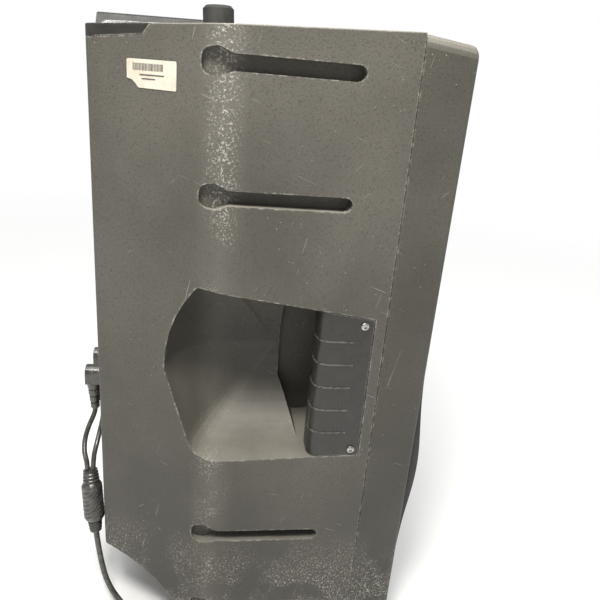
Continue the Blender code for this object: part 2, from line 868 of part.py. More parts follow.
# ---- Front --------------------------------------------------------------------------------
def front_baffle():
    taper = 0.003
    fall = 0.0065
    rear = SEAM_Y - 0.0006
    bm = bmesh.new()
    bmesh.ops.create_cube(bm, size=1.0)
    for vertex in bm.verts:
        at_front = vertex.co.y < 0
        upper = vertex.co.z > 0
        half = HALF_WIDTH - (taper if at_front else 0.0)
        drop = fall if at_front else 0.0
        vertex.co.x = math.copysign(half, vertex.co.x)
        vertex.co.y = BEZEL_Y if at_front else rear
        vertex.co.z = TOP_Z - drop if upper else BOTTOM_Z + drop * 0.5
    long_edges = [e for e in bm.edges if abs(e.verts[0].co.y - e.verts[1].co.y) > 0.01]
    bmesh.ops.bevel(
        bm, geom=long_edges, offset=EDGE_RADIUS, segments=4, profile=0.5, affect="EDGES"
    )
    rim = [e for e in bm.edges if all(v.co.y < BEZEL_Y + 1e-5 for v in e.verts)]
    bmesh.ops.bevel(bm, geom=rim, offset=0.006, segments=3, profile=0.5, affect="EDGES")
    mesh = bpy.data.meshes.new("bezel_form")
    bm.to_mesh(mesh)
    bm.free()
    body = place(mesh, "bezel_form")
    middle = (TOP_Z + BOTTOM_Z) / 2
    front_well = prism(
        "front_well", rectangle(0.2050, 0.3390, 0.0015, 0.0, middle), "Y", BEZEL_Y - 0.02, PANEL_FRONT_Y
    )
    rear_well = prism(
        "rear_well",
        rectangle(0.2130, 0.3460, 0.008, 0.0, middle),
        "Y",
        PANEL_FRONT_Y + PANEL_THICKNESS,
        rear + 0.01,
    )
    cut(body, front_well, rear_well)
    ports = []
    bores = []
    for side in (-1, 1):
        centre = (side * PORT_X, PANEL_FRONT_Y, PORT_Z)
        ports.append(
            cylinder(
                "port",
                PORT_RADIUS + 0.003,
                -0.110,
                -0.004,
                MEDIUM_ROUND,
                FACING_FRONT,
                centre,
            ),
        )
        bores.append(cylinder("bore", PORT_RADIUS, -0.13, 0.02, MEDIUM_ROUND, FACING_FRONT, centre))
    join(body, joined_cutters("port_tubes", ports))
    woofer = cylinder(
        "woofer_hole", WOOFER_HOLE_RADIUS, -0.03, 0.03, 40, FACING_FRONT, (
            0,
            PANEL_FRONT_Y,
            WOOFER_Z,
        )
    )
    horn = prism(
        "horn_hole",
        rectangle(HORN_HALF_WIDTH + 0.0045, HORN_HALF_HEIGHT + 0.0045, 0.020, 0.0, HORN_Z),
        "Y",
        PANEL_FRONT_Y - 0.02,
        PANEL_FRONT_Y + 0.03,
    )
    cut(body, joined_cutters("port_bores", bores), woofer, horn)
    return place(body.data.copy(), "front_baffle", BEZEL)


def grille_height(x, z):
    """How far the grille stands in front of the bezel at a place on it."""
    crown = 0.013 * (1 - (x / 0.205) ** 2)
    bulge = 0.010 * math.exp(-(((z - WOOFER_Z) / 0.075) ** 2))
    return 0.002 + crown + bulge


def grille_sheet(name, columns, half_size, setback, thickness, lip, finish):
    half_width, half_height = half_size
    middle = (TOP_Z + BOTTOM_Z) / 2
    bm = bmesh.new()
    bmesh.ops.create_grid(bm, x_segments=columns, y_segments=2 * columns, size=1.0)
    edge = [e for e in bm.edges if e.is_boundary]
    for vertex in bm.verts:
        x = vertex.co.x * half_width
        z = middle + vertex.co.y * half_height
        vertex.co = (x, BEZEL_Y - grille_height(x, z) + setback, z)
    if lip > 0:
        rim = bmesh.ops.extrude_edge_only(bm, edges=edge)
        for vertex in [v for v in rim["geom"] if isinstance(v, bmesh.types.BMVert)]:
            vertex.co.y = BEZEL_Y + lip
    bmesh.ops.recalc_face_normals(bm, faces=bm.faces)
    front = min(bm.faces, key=lambda face: face.calc_center_median().y)
    if front.normal.y > 0:
        bmesh.ops.reverse_faces(bm, faces=bm.faces)
    mesh = bpy.data.meshes.new(name)
    bm.to_mesh(mesh)
    bm.free()
    item = place(mesh, name, finish)
    solid = item.modifiers.new("sheet", "SOLIDIFY")
    solid.thickness = thickness
    solid.offset = -1.0
    return item


def grille():
    grille_sheet("front_grille", 9, (0.2044, 0.3384), 0.0, 0.0012, 0.012, DARK_STEEL)
    grille_sheet("grille_foam", 9, (0.2010, 0.3350), 0.0022, 0.0030, 0.0, PAPER)


# ---- Woofer -------------------------------------------------------------------------------
def woofer():
    centre = (0.0, PANEL_FRONT_Y, WOOFER_Z)
    basket_profile = [
        (0.1940, 0.0050),
        (0.1940, GAP),
        (0.1765, GAP),
        (0.1765, -0.0040),
        (0.1030, -0.0810),
        (0.0900, -0.0810),
        (0.0860, -0.1110),
        (0.0460, -0.1110),
        (0.0460, -0.1055),
        (0.0815, -0.1055),
        (0.0855, -0.0775),
        (0.0995, -0.0775),
        (0.1710, -0.0030),
        (0.1710, 0.0050),
    ]
    basket = turned("basket_form", basket_profile, LARGE_ROUND, FACING_FRONT, centre)
    windows = []
    for index in range(6):
        middle = math.radians(30 + 60 * index)
        spread = math.radians(21)
        inner, outer = 0.112, 0.158
        corners = [
            (inner * math.cos(middle - spread), inner * math.sin(middle - spread), 0.004),
            (outer * math.cos(middle - spread), outer * math.sin(middle - spread), 0.008),
            (outer * 1.06 * math.cos(middle), outer * 1.06 * math.sin(middle), 0.0),
            (outer * math.cos(middle + spread), outer * math.sin(middle + spread), 0.008),
            (inner * math.cos(middle + spread), inner * math.sin(middle + spread), 0.004),
        ]
        window = prism("window", rounded_outline(corners), "Z", -0.076, -0.006)
        window.location = centre
        window.rotation_euler = FACING_FRONT
        windows.append(window)
    cut(basket, joined_cutters("basket_windows", windows))
    mesh = basket.data.copy()
    place(mesh, "woofer_basket", DARK_STEEL, centre, FACING_FRONT)
    rings = {
        "woofer_top_plate": ((0.0425, 0.0780, -0.1113, -0.1193), STEEL),
        "woofer_magnet": ((0.0480, 0.0850, -0.1196, -0.1396), FERRITE),
    }
    for name, ((inner, outer, high, low), finish) in rings.items():
        profile = [(outer, high), (outer, low), (inner, low), (inner, high)]
        turned(name, profile, LARGE_ROUND, FACING_FRONT, centre, finish)
    yoke_profile = [
        (0.0370, -0.1110),
        (0.0370, -0.1399),
        (0.0780, -0.1399),
        (0.0780, -0.1480),
        (0.0120, -0.1480),
        (0.0120, -0.1110),
    ]
    turned("woofer_yoke", yoke_profile, LARGE_ROUND, FACING_FRONT, centre, STEEL)
    coil_profile = [(0.0402, -0.0720), (0.0402, -0.1270), (0.0385, -0.1270), (0.0385, -0.0720)]
    turned("voice_coil", coil_profile, LARGE_ROUND, FACING_FRONT, centre, COPPER)
    cone_profile = [
        (0.1550, -0.0085),
        (0.1552, -0.0105),
        (0.1200, -0.0330),
        (0.0750, -0.0610),
        (0.0406, -0.0780),
        (0.0406, -0.0755),
        (0.0740, -0.0590),
        (0.1190, -0.0310),
    ]
    turned("woofer_cone", cone_profile, LARGE_ROUND, FACING_FRONT, centre, PAPER)
    dome = []
    for step in range(5):
        angle = math.radians(90 - 18 * step)
        dome.append((0.0560 * math.cos(angle), -0.0735 + 0.0330 * math.sin(angle)))
    cap_profile = [(0.0, dome[0][1])]
    cap_profile += dome[1:]
    cap_profile += [(radius - 0.0006, height - 0.0010) for radius, height in reversed(dome[1:])]
    cap_profile += [(0.0, dome[0][1] - 0.0010)]
    turned("dust_cap", cap_profile, 24, FACING_FRONT, centre, PAPER, closed=False)
    roll_outer = []
    roll_inner = []
    for step in range(6):
        angle = math.pi * (1 - step / 5)
        slant = 0.0150 * (step / 5)
        roll_outer.append(
            (0.1645 + 0.0085 * math.cos(angle), -0.0076 + slant + 0.0080 * math.sin(angle)),
        )
        roll_inner.append(
            (0.1645 + 0.0073 * math.cos(angle), -0.0088 + slant + 0.0080 * math.sin(angle)),
        )
    surround_profile = [(0.1810, 0.0068), *reversed(roll_outer), *roll_inner, (0.1810, 0.0056)]
    surround_profile = [p for p in surround_profile if p[0] > 0.1558]
    turned("woofer_surround", surround_profile, LARGE_ROUND, FACING_FRONT, centre, RUBBER)
    spider_high = []
    spider_low = []
    for step in range(8):
        share = step / 7
        radius = 0.0408 + (0.0965 - 0.0408) * share
        height = -0.0866 + 0.0105 * share + 0.0022 * math.sin(share * 3 * math.pi)
        spider_high.append((radius, height))
        spider_low.append((radius, height - 0.0008))
    turned("woofer_spider", [*reversed(spider_high), *spider_low], 24, FACING_FRONT, centre, CLOTH)


# ---- Horn and compression driver ----------------------------------------------------------
def lofted_horn(name, grow, over):
    """A superellipse mouth that blends into the round throat, capped at both ends."""
    count = 24
    stations = 6
    bm = bmesh.new()
    rings = []
    for station in range(-1, stations + 2):
        share = station / stations
        clamped = min(max(share, 0.0), 1.0)
        flare = (1 - clamped) ** 1.7
        half_width = THROAT_RADIUS + (HORN_HALF_WIDTH - THROAT_RADIUS) * flare + grow
        half_height = THROAT_RADIUS + (HORN_HALF_HEIGHT - THROAT_RADIUS) * flare + grow
        power = 2 / (2 + 5 * (1 - clamped) ** 2)
        depth = -HORN_DEPTH * clamped + (over if share < 0 else 0.0) - (over if share > 1 else 0.0)
        ring = []
        for step in range(count):
            angle = 2 * math.pi * step / count
            x = math.copysign(abs(math.cos(angle)) ** power, math.cos(angle)) * half_width
            y = math.copysign(abs(math.sin(angle)) ** power, math.sin(angle)) * half_height
            ring.append(bm.verts.new((x, y, depth)))
        if over > 0 or 0 <= station <= stations:
            rings.append(ring)
        else:
            for vertex in ring:
                bm.verts.remove(vertex)
    for lower, upper in zip(rings, rings[1:]):
        for step in range(count):
            following = (step + 1) % count
            bm.faces.new((lower[step], lower[following], upper[following], upper[step]))
    bm.faces.new(rings[0])
    bm.faces.new(rings[-1])
    bmesh.ops.recalc_face_normals(bm, faces=bm.faces)
    mesh = bpy.data.meshes.new(name)
    bm.to_mesh(mesh)
    bm.free()
    return place(mesh, name, None, (0.0, PANEL_FRONT_Y, HORN_Z), FACING_FRONT)


def horn():
    centre = (0.0, PANEL_FRONT_Y, HORN_Z)
    body = lofted_horn("horn_outer", 0.003, 0.004)
    flange = prism(
        "horn_flange",
        rectangle(HORN_HALF_WIDTH + 0.020, HORN_HALF_HEIGHT + 0.018, 0.012, 0.0, HORN_Z),
        "Y",
        PANEL_FRONT_Y - 0.0045,
        PANEL_FRONT_Y - GAP,
    )
    throat = cylinder(
        "throat_flange",
        0.048,
        -HORN_DEPTH - 0.004,
        -HORN_DEPTH + 0.001,
        28,
        FACING_FRONT,
        centre,
    )
    join(body, flange, throat)
    cut(body, lofted_horn("horn_inner", 0.0, 0.008))
    mesh = body.data.copy()
    place(mesh, "hf_horn", BEZEL, centre, FACING_FRONT)
    back = -HORN_DEPTH - 0.004 - GAP
    driver_profile = [
        (THROAT_RADIUS, back),
        (0.0540, back),
        (0.0540, back - 0.048),
        (0.0, back - 0.048),
    ]
    cavity = [
        (0.0, back - 0.026),
        (0.0300, back - 0.026),
        (0.0300, back - 0.006),
        (THROAT_RADIUS, back - 0.006),
    ]
    turned(
        "hf_driver",
        [*reversed(driver_profile), *reversed(cavity)],
        28,
        FACING_FRONT,
        centre,
        DARK_STEEL,
        closed=False,
    )
    outer_dome = []
    for step in range(4):
        angle = math.radians(90 - 21 * step)
        outer_dome.append((0.0285 * math.cos(angle), back + 0.0053 - 0.0300 * math.sin(angle)))
    low = [(max(radius - 0.0004, 0.0), height + 0.0008) for radius, height in outer_dome]
    low[0] = (0.0, low[0][1])
    profile = [*outer_dome, *reversed(low)]
    profile[0] = (0.0, profile[0][1])
    item = turned(
        "hf_diaphragm",
        profile,
        MEDIUM_ROUND,
        FACING_FRONT,
        centre,
        ALUMINIUM,
        closed=False,
    )
    return item


# ---- Amplifier ----------------------------------------------------------------------------
def amp_module():
    middle = (AMP_LOW_Z + AMP_HIGH_Z) / 2
    half_height = (AMP_HIGH_Z - AMP_LOW_Z) / 2 - 0.0006
    plate = prism(
        "plate_form",
        rectangle(AMP_HALF_WIDTH - 0.0006, half_height, 0.005, 0.0, middle),
        "Y",
        PLATE_INNER_Y,
        PLATE_OUTER_Y,
    )
    holes = []
    for x in (*JACK_X, LINK_X):
        holes.append(
            cylinder(
                "hole",
                JACK_RADIUS - 0.0012,
                -0.01,
                0.01,
                MEDIUM_ROUND,
                FACING_REAR,
                (x, PLATE_OUTER_Y, JACK_Z),
            ),
        )
    for x in JACK_X:
        hole = rectangle(0.0044, 0.0034, 0.0, x, JACK_Z + LATCH_RISE)
        holes.append(prism("hole", hole, "Y", PLATE_INNER_Y - 0.01, PLATE_OUTER_Y + 0.01))
    for x in KNOB_X:
        holes.append(
            cylinder(
                "hole",
                0.0036,
                -0.01,
                0.01,
                SMALL_ROUND,
                FACING_REAR,
                (x, PLATE_OUTER_Y, KNOB_Z),
            ),
        )
    holes.append(
        cylinder(
            "hole",
            0.0046,
            -0.01,
            0.01,
            SMALL_ROUND,
            FACING_REAR,
            (BUTTON_X, PLATE_OUTER_Y, KNOB_Z),
        ),
    )
    holes.append(
        cylinder(
            "hole",
            0.0026,
            -0.01,
            0.01,
            SMALL_ROUND,
            FACING_REAR,
            (BUTTON_X + 0.025, PLATE_OUTER_Y, KNOB_Z),
        ),
    )
    holes.append(
        prism(
            "hole",
            rectangle(0.0138, 0.0100, 0.002, INLET_X, INLET_Z),
            "Y",
            PLATE_INNER_Y - 0.01,
            PLATE_OUTER_Y + 0.01,
        )
    )
    holes.append(
        prism(
            "hole",
            rectangle(0.0070, 0.0115, 0.001, INLET_X, SWITCH_Z),
            "Y",
            PLATE_INNER_Y - 0.01,
            PLATE_OUTER_Y + 0.01,
        )
    )
    cut(plate, joined_cutters("plate_holes", holes))
    place(plate.data.copy(), "amp_panel", DARK_STEEL)
    heat_sink()
    input_sockets()
    controls()
    mains_parts()
    inner_boards()


def heat_sink():
    low_y = PLATE_OUTER_Y + GAP
    body = box("sink_base", (-0.104, low_y, 0.462), (0.104, low_y + 0.003, 0.590))
    fins = []
    for index in range(12):
        x = -0.1010 + 0.01836 * index
        fins.append(
            box("fin", (x - 0.001, low_y + 0.002, 0.464), (x + 0.001, REAR_Y - 0.0035, 0.588)),
        )
    join(body, joined_cutters("sink_fins", fins))
    place(body.data.copy(), "heat_sink", ALUMINIUM)


def input_sockets():
    """Three round chassis sockets. The two inputs are hollow for a plug's nose."""
    names = ("input_socket_1", "input_socket_2", "link_output")
    for name, x in zip(names, (*JACK_X, LINK_X)):
        centre = (x, PLATE_OUTER_Y, JACK_Z)
        profile = [
            (0.0, -0.0180),
            (0.0092, -0.0180),
            (0.0092, 0.0016),
            (JACK_RADIUS, 0.0016),
            (JACK_RADIUS, GAP),
            (JACK_RADIUS - 0.0018, GAP),
            (JACK_RADIUS - 0.0018, -0.0260),
            (0.0, -0.0260),
        ]
        turned(name, profile, MEDIUM_ROUND, FACING_REAR, centre, GLOSS, closed=False)
    for number, x in enumerate(JACK_X, 1):
        tab = box(
            f"latch_form_{number}",
            (x - 0.0040, PLATE_INNER_Y - 0.0030, JACK_Z + LATCH_RISE - 0.0030),
            (x + 0.0040, PLATE_OUTER_Y + 0.0040, JACK_Z + LATCH_RISE + 0.0030),
        )
        bevelled(tab, 0.0008, 2)
        place(tab.data.copy(), f"latch_tab_{number}", STEEL)


def controls():
    for number, x in enumerate(KNOB_X, 1):
        centre = (x, PLATE_OUTER_Y, KNOB_Z)
        profile = [
            (0.0, 0.0150),
            (KNOB_RADIUS - 0.0012, 0.0150),
            (KNOB_RADIUS - 0.0004, 0.0142),
            (KNOB_RADIUS, 0.0010),
            (0.0028, 0.0010),
            (0.0028, -0.0080),
            (0.0, -0.0080),
        ]
        knob = turned(f"knob_form_{number}", profile, 18, FACING_REAR, centre, closed=False)
        line = box("line", (-0.0005, 0.0020, 0.0138), (0.0005, KNOB_RADIUS + 0.0006, 0.0156))
        line.location = centre
        line.rotation_euler = FACING_REAR
        join(knob, line)
        place(knob.data.copy(), f"level_knob_{number}", RUBBER, centre, FACING_REAR)
    centre = (BUTTON_X, PLATE_OUTER_Y, KNOB_Z)
    cylinder("mode_button", 0.0040, -0.0060, 0.0050, SMALL_ROUND, FACING_REAR, centre, RUBBER)
    lamp_at = (BUTTON_X + 0.025, PLATE_OUTER_Y, KNOB_Z)
    cylinder(
        "power_lamp",
        0.0022,
        -0.0050,
        0.0012,
        SMALL_ROUND,
        FACING_REAR,
        lamp_at,
        LAMP,
        top_radius=0.0017,
    )


def mains_parts():
    """An appliance inlet with its three pins' cavity, and the rocker switch above it."""
    outer = rectangle(0.0240, 0.0120, 0.002, INLET_X, INLET_Z)
    inlet = prism("inlet_flange", outer, "Y", PLATE_OUTER_Y + GAP, PLATE_OUTER_Y + 0.0025)
    body = prism(
        "inlet_body",
        rectangle(0.0134, 0.0096, 0.002, INLET_X, INLET_Z),
        "Y",
        PLATE_INNER_Y - 0.020,
        PLATE_OUTER_Y + 0.002,
    )
    join(inlet, body)
    well = prism(
        "inlet_well",
        rectangle(0.0120, 0.0080, 0.002, INLET_X, INLET_Z),
        "Y",
        PLATE_INNER_Y - 0.016,
        PLATE_OUTER_Y + 0.02,
    )
    cut(inlet, well)
    pins = []
    for offset, height in ((-0.007, -0.002), (0.0, 0.002), (0.007, -0.002)):
        low = (INLET_X + offset - 0.001, PLATE_INNER_Y - 0.017, INLET_Z + height - 0.002)
        high = (INLET_X + offset + 0.001, PLATE_INNER_Y - 0.003, INLET_Z + height + 0.002)
        pins.append(box("pin", low, high))
    join(inlet, joined_cutters("inlet_pins", pins))
    place(inlet.data.copy(), "mains_inlet", GLOSS)
    frame = prism(
        "switch_flange",
        rectangle(0.0105, 0.0150, 0.001, INLET_X, SWITCH_Z),
        "Y",
        PLATE_OUTER_Y + GAP,
        PLATE_OUTER_Y + 0.0020,
    )
    shell = prism(
        "switch_body",
        rectangle(0.0067, 0.0112, 0.001, INLET_X, SWITCH_Z),
        "Y",
        PLATE_INNER_Y - 0.014,
        PLATE_OUTER_Y + 0.001,
    )
    join(frame, shell)
    hollow = prism(
        "switch_well",
        rectangle(0.0057, 0.0100, 0.0005, INLET_X, SWITCH_Z),
        "Y",
        PLATE_INNER_Y - 0.012,
        PLATE_OUTER_Y + 0.02,
    )
    cut(frame, hollow)
    place(frame.data.copy(), "switch_housing", GLOSS)
    pivot = Vector((INLET_X, PLATE_OUTER_Y - 0.002, SWITCH_Z))
    rocker_outline = [
        Vector((-0.0020, -0.0088)),
        Vector((0.0064, -0.0090)),
        Vector((0.0040, 0.0)),
        Vector((0.0064, 0.0090)),
        Vector((-0.0020, 0.0088)),
        Vector((-0.0050, 0.0)),
    ]
    rocker = prism("rocker_form", rocker_outline, "X", -0.0050, 0.0050)
    rest = rocker.data.copy()
    rest.transform(Matrix.Rotation(math.radians(ROCKER_REST), 4, "X"))
    place(rest, "power_rocker", RUBBER, pivot)


def inner_boards():
    board_y = PLATE_INNER_Y - 0.044
    board = box("board_form", (-0.095, board_y, 0.345), (0.095, board_y + 0.0016, 0.585))
    extras = []
    for index in range(4):
        centre = (-0.060 + 0.040 * index, board_y, 0.400)
        extras.append(
            cylinder("capacitor", 0.0110, -0.0010, 0.0300, SMALL_ROUND, FACING_FRONT, centre),
        )
    extras.append(
        box("coil_can", (-0.060, board_y - 0.022, 0.450), (-0.020, board_y + 0.001, 0.490)),
    )
    extras.append(
        box("driver_can", (0.020, board_y - 0.018, 0.450), (0.070, board_y + 0.001, 0.480)),
    )
    extras.append(
        box("output_fin", (-0.080, board_y - 0.014, 0.530), (0.080, board_y + 0.001, 0.538)),
    )
    join(board, joined_cutters("board_extras", extras))
    place(board.data.copy(), "amp_board", CIRCUIT)
    ring = [
        (0.0420, 0.0190),
        (0.0440, 0.0150),
        (0.0440, -0.0150),
        (0.0420, -0.0190),
        (0.0160, -0.0190),
        (0.0140, -0.0150),
        (0.0140, 0.0150),
        (0.0160, 0.0190),
    ]
    centre = (-0.045, PLATE_INNER_Y - 0.030, 0.230)
    turned("transformer", ring, MEDIUM_ROUND, FACING_FRONT, centre, COPPER)
    post = [(0.0, 0.0225), (0.0130, 0.0225), (0.0130, -0.0290), (0.0, -0.0290)]
    turned("transformer_post", post, SMALL_ROUND, FACING_FRONT, centre, STEEL, closed=False)


# ---- Pegs, feet, pole socket, label -------------------------------------------------------
def small_fittings():
    top_at_peg = TOP_Z - TOP_FALL * (PEG_Y - SEAM_Y)
    for label, side in (("left", -1), ("right", 1)):
        profile = [
            (0.0, 0.0165),
            (PEG_RADIUS - 0.0025, 0.0165),
            (PEG_RADIUS, 0.0140),
            (PEG_RADIUS, 0.0012),
            (0.0, 0.0012),
        ]
        peg = turned(
            f"stacking_peg_{label}",
            profile,
            MEDIUM_ROUND,
            FACING_UP,
            (side * PEG_X, PEG_Y, top_at_peg),
            RUBBER,
            closed=False,
        )
        peg.rotation_euler = (-TOP_FALL, 0.0, 0.0)
    number = 0
    for y in FOOT_Y:
        for side in (-1, 1):
            number += 1
            profile = [
                (0.0, BOTTOM_Z - GAP),
                (FOOT_RADIUS, BOTTOM_Z - GAP),
                (FOOT_RADIUS - 0.0015, 0.0015),
                (FOOT_RADIUS - 0.0030, 0.0),
                (0.0, 0.0),
            ]
            turned(
                f"foot_{number}",
                profile,
                MEDIUM_ROUND,
                FACING_UP,
                (side * FOOT_X, y, 0.0),
                RUBBER,
                closed=False,
            )
    socket = [
        (POLE_RADIUS, BOTTOM_Z - 0.0045),
        (0.0400, BOTTOM_Z - 0.0045),
        (0.0400, BOTTOM_Z - GAP),
        (POLE_RADIUS + 0.0030, BOTTOM_Z - GAP),
        (POLE_RADIUS + 0.0030, BOTTOM_Z + POLE_DEPTH),
        (0.0, BOTTOM_Z + POLE_DEPTH),
        (0.0, BOTTOM_Z + POLE_DEPTH - 0.003),
        (POLE_RADIUS, BOTTOM_Z + POLE_DEPTH - 0.003),
    ]
    loop = [*socket[6:], *socket[:6]]
    turned("pole_socket", loop, 28, FACING_UP, (0.0, POLE_Y, 0.0), RUBBER, closed=False)


def asset_label():
    """A blank paper label on the left rear facet, with one corner torn away."""
    corners = [
        (-0.0254, 0.0127, 0.0015),
        (-0.0254, -0.0040, 0.0),
        (-0.0200, -0.0055, 0.0),
        (-0.0165, -0.0085, 0.0),
        (-0.0135, -0.0120, 0.0),
        (0.0254, -0.0127, 0.0015),
        (0.0254, 0.0127, 0.0015),
    ]
    label = prism("label_form", rounded_outline(corners), "Z", GAP, GAP + 0.0004)
    along = REAR_Y - CREASE_Y
    reach = (behind_seam(0.2441) - CREASE_Y) / along
    x = -HALF_WIDTH + (HALF_WIDTH - REAR_HALF_WIDTH) * reach
    item = place(
        label.data.copy(),
        "asset_label",
        LABEL,
        (x, behind_seam(0.2441), below_top(0.0555)),
    )
    outward = Vector((-math.cos(FACET_ANGLE), math.sin(FACET_ANGLE), 0.0))
    level = Vector((0.0, 0.0, 1.0)).cross(outward)
    item.rotation_euler = Matrix((level, (0.0, 0.0, 1.0), outward)).transposed().to_euler()


# ---- Signal cable -------------------------------------------------------------------------
def right_angle_plug(number, x):
    """A plug whose nose enters a socket and whose ribbed boot points down."""
    centre = (x, PLATE_OUTER_Y, JACK_Z)
    nose = cylinder(f"plug_nose_{number}", 0.0086, -0.0140, 0.0200, 20, FACING_REAR, centre)
    body = prism(
        f"plug_body_{number}",
        rounded_outline(
            [
                (x - 0.0105, JACK_Z - 0.0125, 0.003),
                (x + 0.0105, JACK_Z - 0.0125, 0.003),
                (x + 0.0105, JACK_Z + 0.0105, 0.009),
                (x - 0.0105, JACK_Z + 0.0105, 0.009),
            ]
        ),
        "Y",
        PLATE_OUTER_Y + 0.0060,
        PLUG_AXIS_Y + 0.0090,
    )
    bevelled(body, 0.0015, 2, 60)
    boot_profile = [(0.0, 0.0), (0.0048, 0.0)]
    length = JACK_Z - 0.0100 - BOOT_LOW_Z
    for index in range(4):
        low = length * (index + 0.15) / 4
        high = length * (index + 0.75) / 4
        wide = 0.0056 + 0.0030 * index / 3
        boot_profile += [(wide, low), (wide, high), (wide - 0.0010, high + 0.0004)]
    boot_profile += [(0.0085, length), (0.0, length)]
    boot = turned(
        f"plug_boot_{number}",
        list(reversed(boot_profile)),
        SMALL_ROUND,
        FACING_UP,
        (x, PLUG_AXIS_Y, BOOT_LOW_Z),
        closed=False,
    )
    join(nose, body, boot)
    mesh = nose.data.copy()
    place(mesh, f"input_plug_{number}", JACKET, centre, FACING_REAR)


def cable_junction():
    """The moulded Y-junction, with ring reliefs at both ends and slanting ribs between."""
    length = (JUNCTION_TOP - JUNCTION_LOW).length
    reach = length / 2 - GAP
    profile = [(0.0, reach), (0.0080, reach)]
    for ring in range(3):
        height = reach - 0.0035 - 0.0040 * ring
        radius = 0.0085 + 0.0006 * ring
        profile += [
            (radius, height + 0.0012),
            (radius, height - 0.0012),
            (radius - 0.0014, height - 0.0016),
        ]
    profile += [(0.0115, reach - 0.0175), (JUNCTION_RADIUS, reach - 0.0215)]
    lower = [(0.0062, -reach), (0.0, -reach)]
    profile += [(JUNCTION_RADIUS, -reach + 0.0215), (0.0105, -reach + 0.0160)]
    for ring in range(3):
        height = -reach + 0.0115 - 0.0040 * ring
        radius = 0.0082 - 0.0006 * ring
        profile += [
            (radius - 0.0014, height + 0.0016),
            (radius, height + 0.0012),
            (radius, height - 0.0012),
        ]
    profile += lower
    axis = (JUNCTION_TOP - JUNCTION_LOW).normalized()
    turn = axis.to_track_quat("Z", "Y").to_euler()
    centre = (JUNCTION_TOP + JUNCTION_LOW) / 2
    turned("cable_junction", profile, 16, turn, centre, JACKET, closed=False)


def far_plug():
    """The plug at the cable's far end, lying on the floor."""
    profile = [
        (0.0, 0.0),
        (0.0052, 0.0),
        (0.0072, 0.0200),
        (0.0092, 0.0220),
        (0.0095, 0.0600),
        (0.0082, 0.0615),
        (0.0082, 0.0740),
        (0.0, 0.0740),
    ]
    start = Vector(END_ROUTE[-1])
    ahead = (start - Vector(END_ROUTE[-2])).normalized()
    turn = Vector((ahead.x, ahead.y, 0.0)).to_track_quat("Z", "Y").to_euler()
    centre = start + ahead * GAP
    turned("far_plug", list(reversed(profile)), 18, turn, centre, STEEL, closed=False)


def signal_cable():
    for number, x in enumerate(JACK_X, 1):
        right_angle_plug(number, x)
    tube("cable_tail_1", smooth_route(TAIL_ROUTE_1, 0.006), TAIL_DIAMETER, JACKET)
    tube("cable_tail_2", smooth_route(TAIL_ROUTE_2, 0.008), TAIL_DIAMETER, JACKET)
    cable_junction()
    trunk = smooth_route(TRUNK_ROUTE, 0.014)
    tube("cable_trunk", trunk, TRUNK_DIAMETER, JACKET)
    half = TRUNK_DIAMETER / 2 + GAP
    inner, outer = COIL_RADIUS - half, COIL_RADIUS + half
    high = COIL_TOP_Z + half
    ring = [(outer, high), (outer, 0.0002), (inner, 0.0002), (inner, high)]
    turned("cable_coil", ring, LARGE_ROUND, FACING_UP, (*COIL_CENTRE, 0.0), JACKET)
    tube("cable_end", smooth_route(END_ROUTE, 0.014), TRUNK_DIAMETER, JACKET)
    far_plug()


# ---- Build --------------------------------------------------------------------------------
clear_scene()
PARTS = new_collection("powered_loudspeaker")
CUTTERS = new_collection("cutters")
rear_enclosure()
side_grip("left", -1)
grip_screws("left", -1)
side_grip("right", 1)
grip_screws("right", 1)
top_handle()
front_baffle()
grille()
woofer()
horn()
amp_module()
small_fittings()
asset_label()
signal_cable()
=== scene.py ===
"""Looks of a moulded two-way powered loudspeaker, seen from its left side and a little above.

The frame holds the sizes. This script adds the camera, soft light, cord, fine pieces and finishes.
"""

import json
import math

import bmesh
import bpy
from mathutils import Matrix, Vector


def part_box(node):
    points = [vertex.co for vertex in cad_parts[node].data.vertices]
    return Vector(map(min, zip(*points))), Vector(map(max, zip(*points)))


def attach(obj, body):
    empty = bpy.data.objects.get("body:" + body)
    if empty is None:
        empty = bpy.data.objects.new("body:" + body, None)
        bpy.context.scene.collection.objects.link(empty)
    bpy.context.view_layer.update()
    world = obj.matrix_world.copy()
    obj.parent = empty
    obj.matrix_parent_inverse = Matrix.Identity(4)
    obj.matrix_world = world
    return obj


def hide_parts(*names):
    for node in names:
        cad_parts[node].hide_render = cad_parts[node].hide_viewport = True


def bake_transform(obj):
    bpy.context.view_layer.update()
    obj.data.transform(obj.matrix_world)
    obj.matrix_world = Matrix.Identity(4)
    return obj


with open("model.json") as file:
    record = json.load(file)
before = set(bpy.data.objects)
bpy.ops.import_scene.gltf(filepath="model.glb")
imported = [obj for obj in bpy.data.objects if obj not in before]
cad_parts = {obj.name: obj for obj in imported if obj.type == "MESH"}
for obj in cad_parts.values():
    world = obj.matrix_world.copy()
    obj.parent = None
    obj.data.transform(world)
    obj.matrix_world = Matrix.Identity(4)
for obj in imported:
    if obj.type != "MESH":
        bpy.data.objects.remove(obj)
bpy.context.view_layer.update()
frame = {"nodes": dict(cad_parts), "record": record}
NODES = frame["nodes"]

# ---- Places and sizes, in metres ----------------------------------------------------------
SHELL_LOW, SHELL_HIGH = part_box("rear_enclosure")
HALF_WIDTH = SHELL_HIGH.x
SEAM_Y = SHELL_LOW.y
REAR_Y = SHELL_HIGH.y
CREASE_Y = SEAM_Y + 0.1765
REAR_HALF_WIDTH = 0.160
FACET_ANGLE = math.atan2(HALF_WIDTH - REAR_HALF_WIDTH, REAR_Y - CREASE_Y)
BEZEL_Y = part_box("front_baffle")[0].y
PANEL_FRONT_Y = SEAM_Y - 0.030
WOOFER_Z = 0.245
PLATE_OUTER_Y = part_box("amp_panel")[1].y

# Paler colour for faces that look up: settled dust and painted light from above.
DUST_AND_TOP_LIGHT = (0.300, 0.280, 0.238)

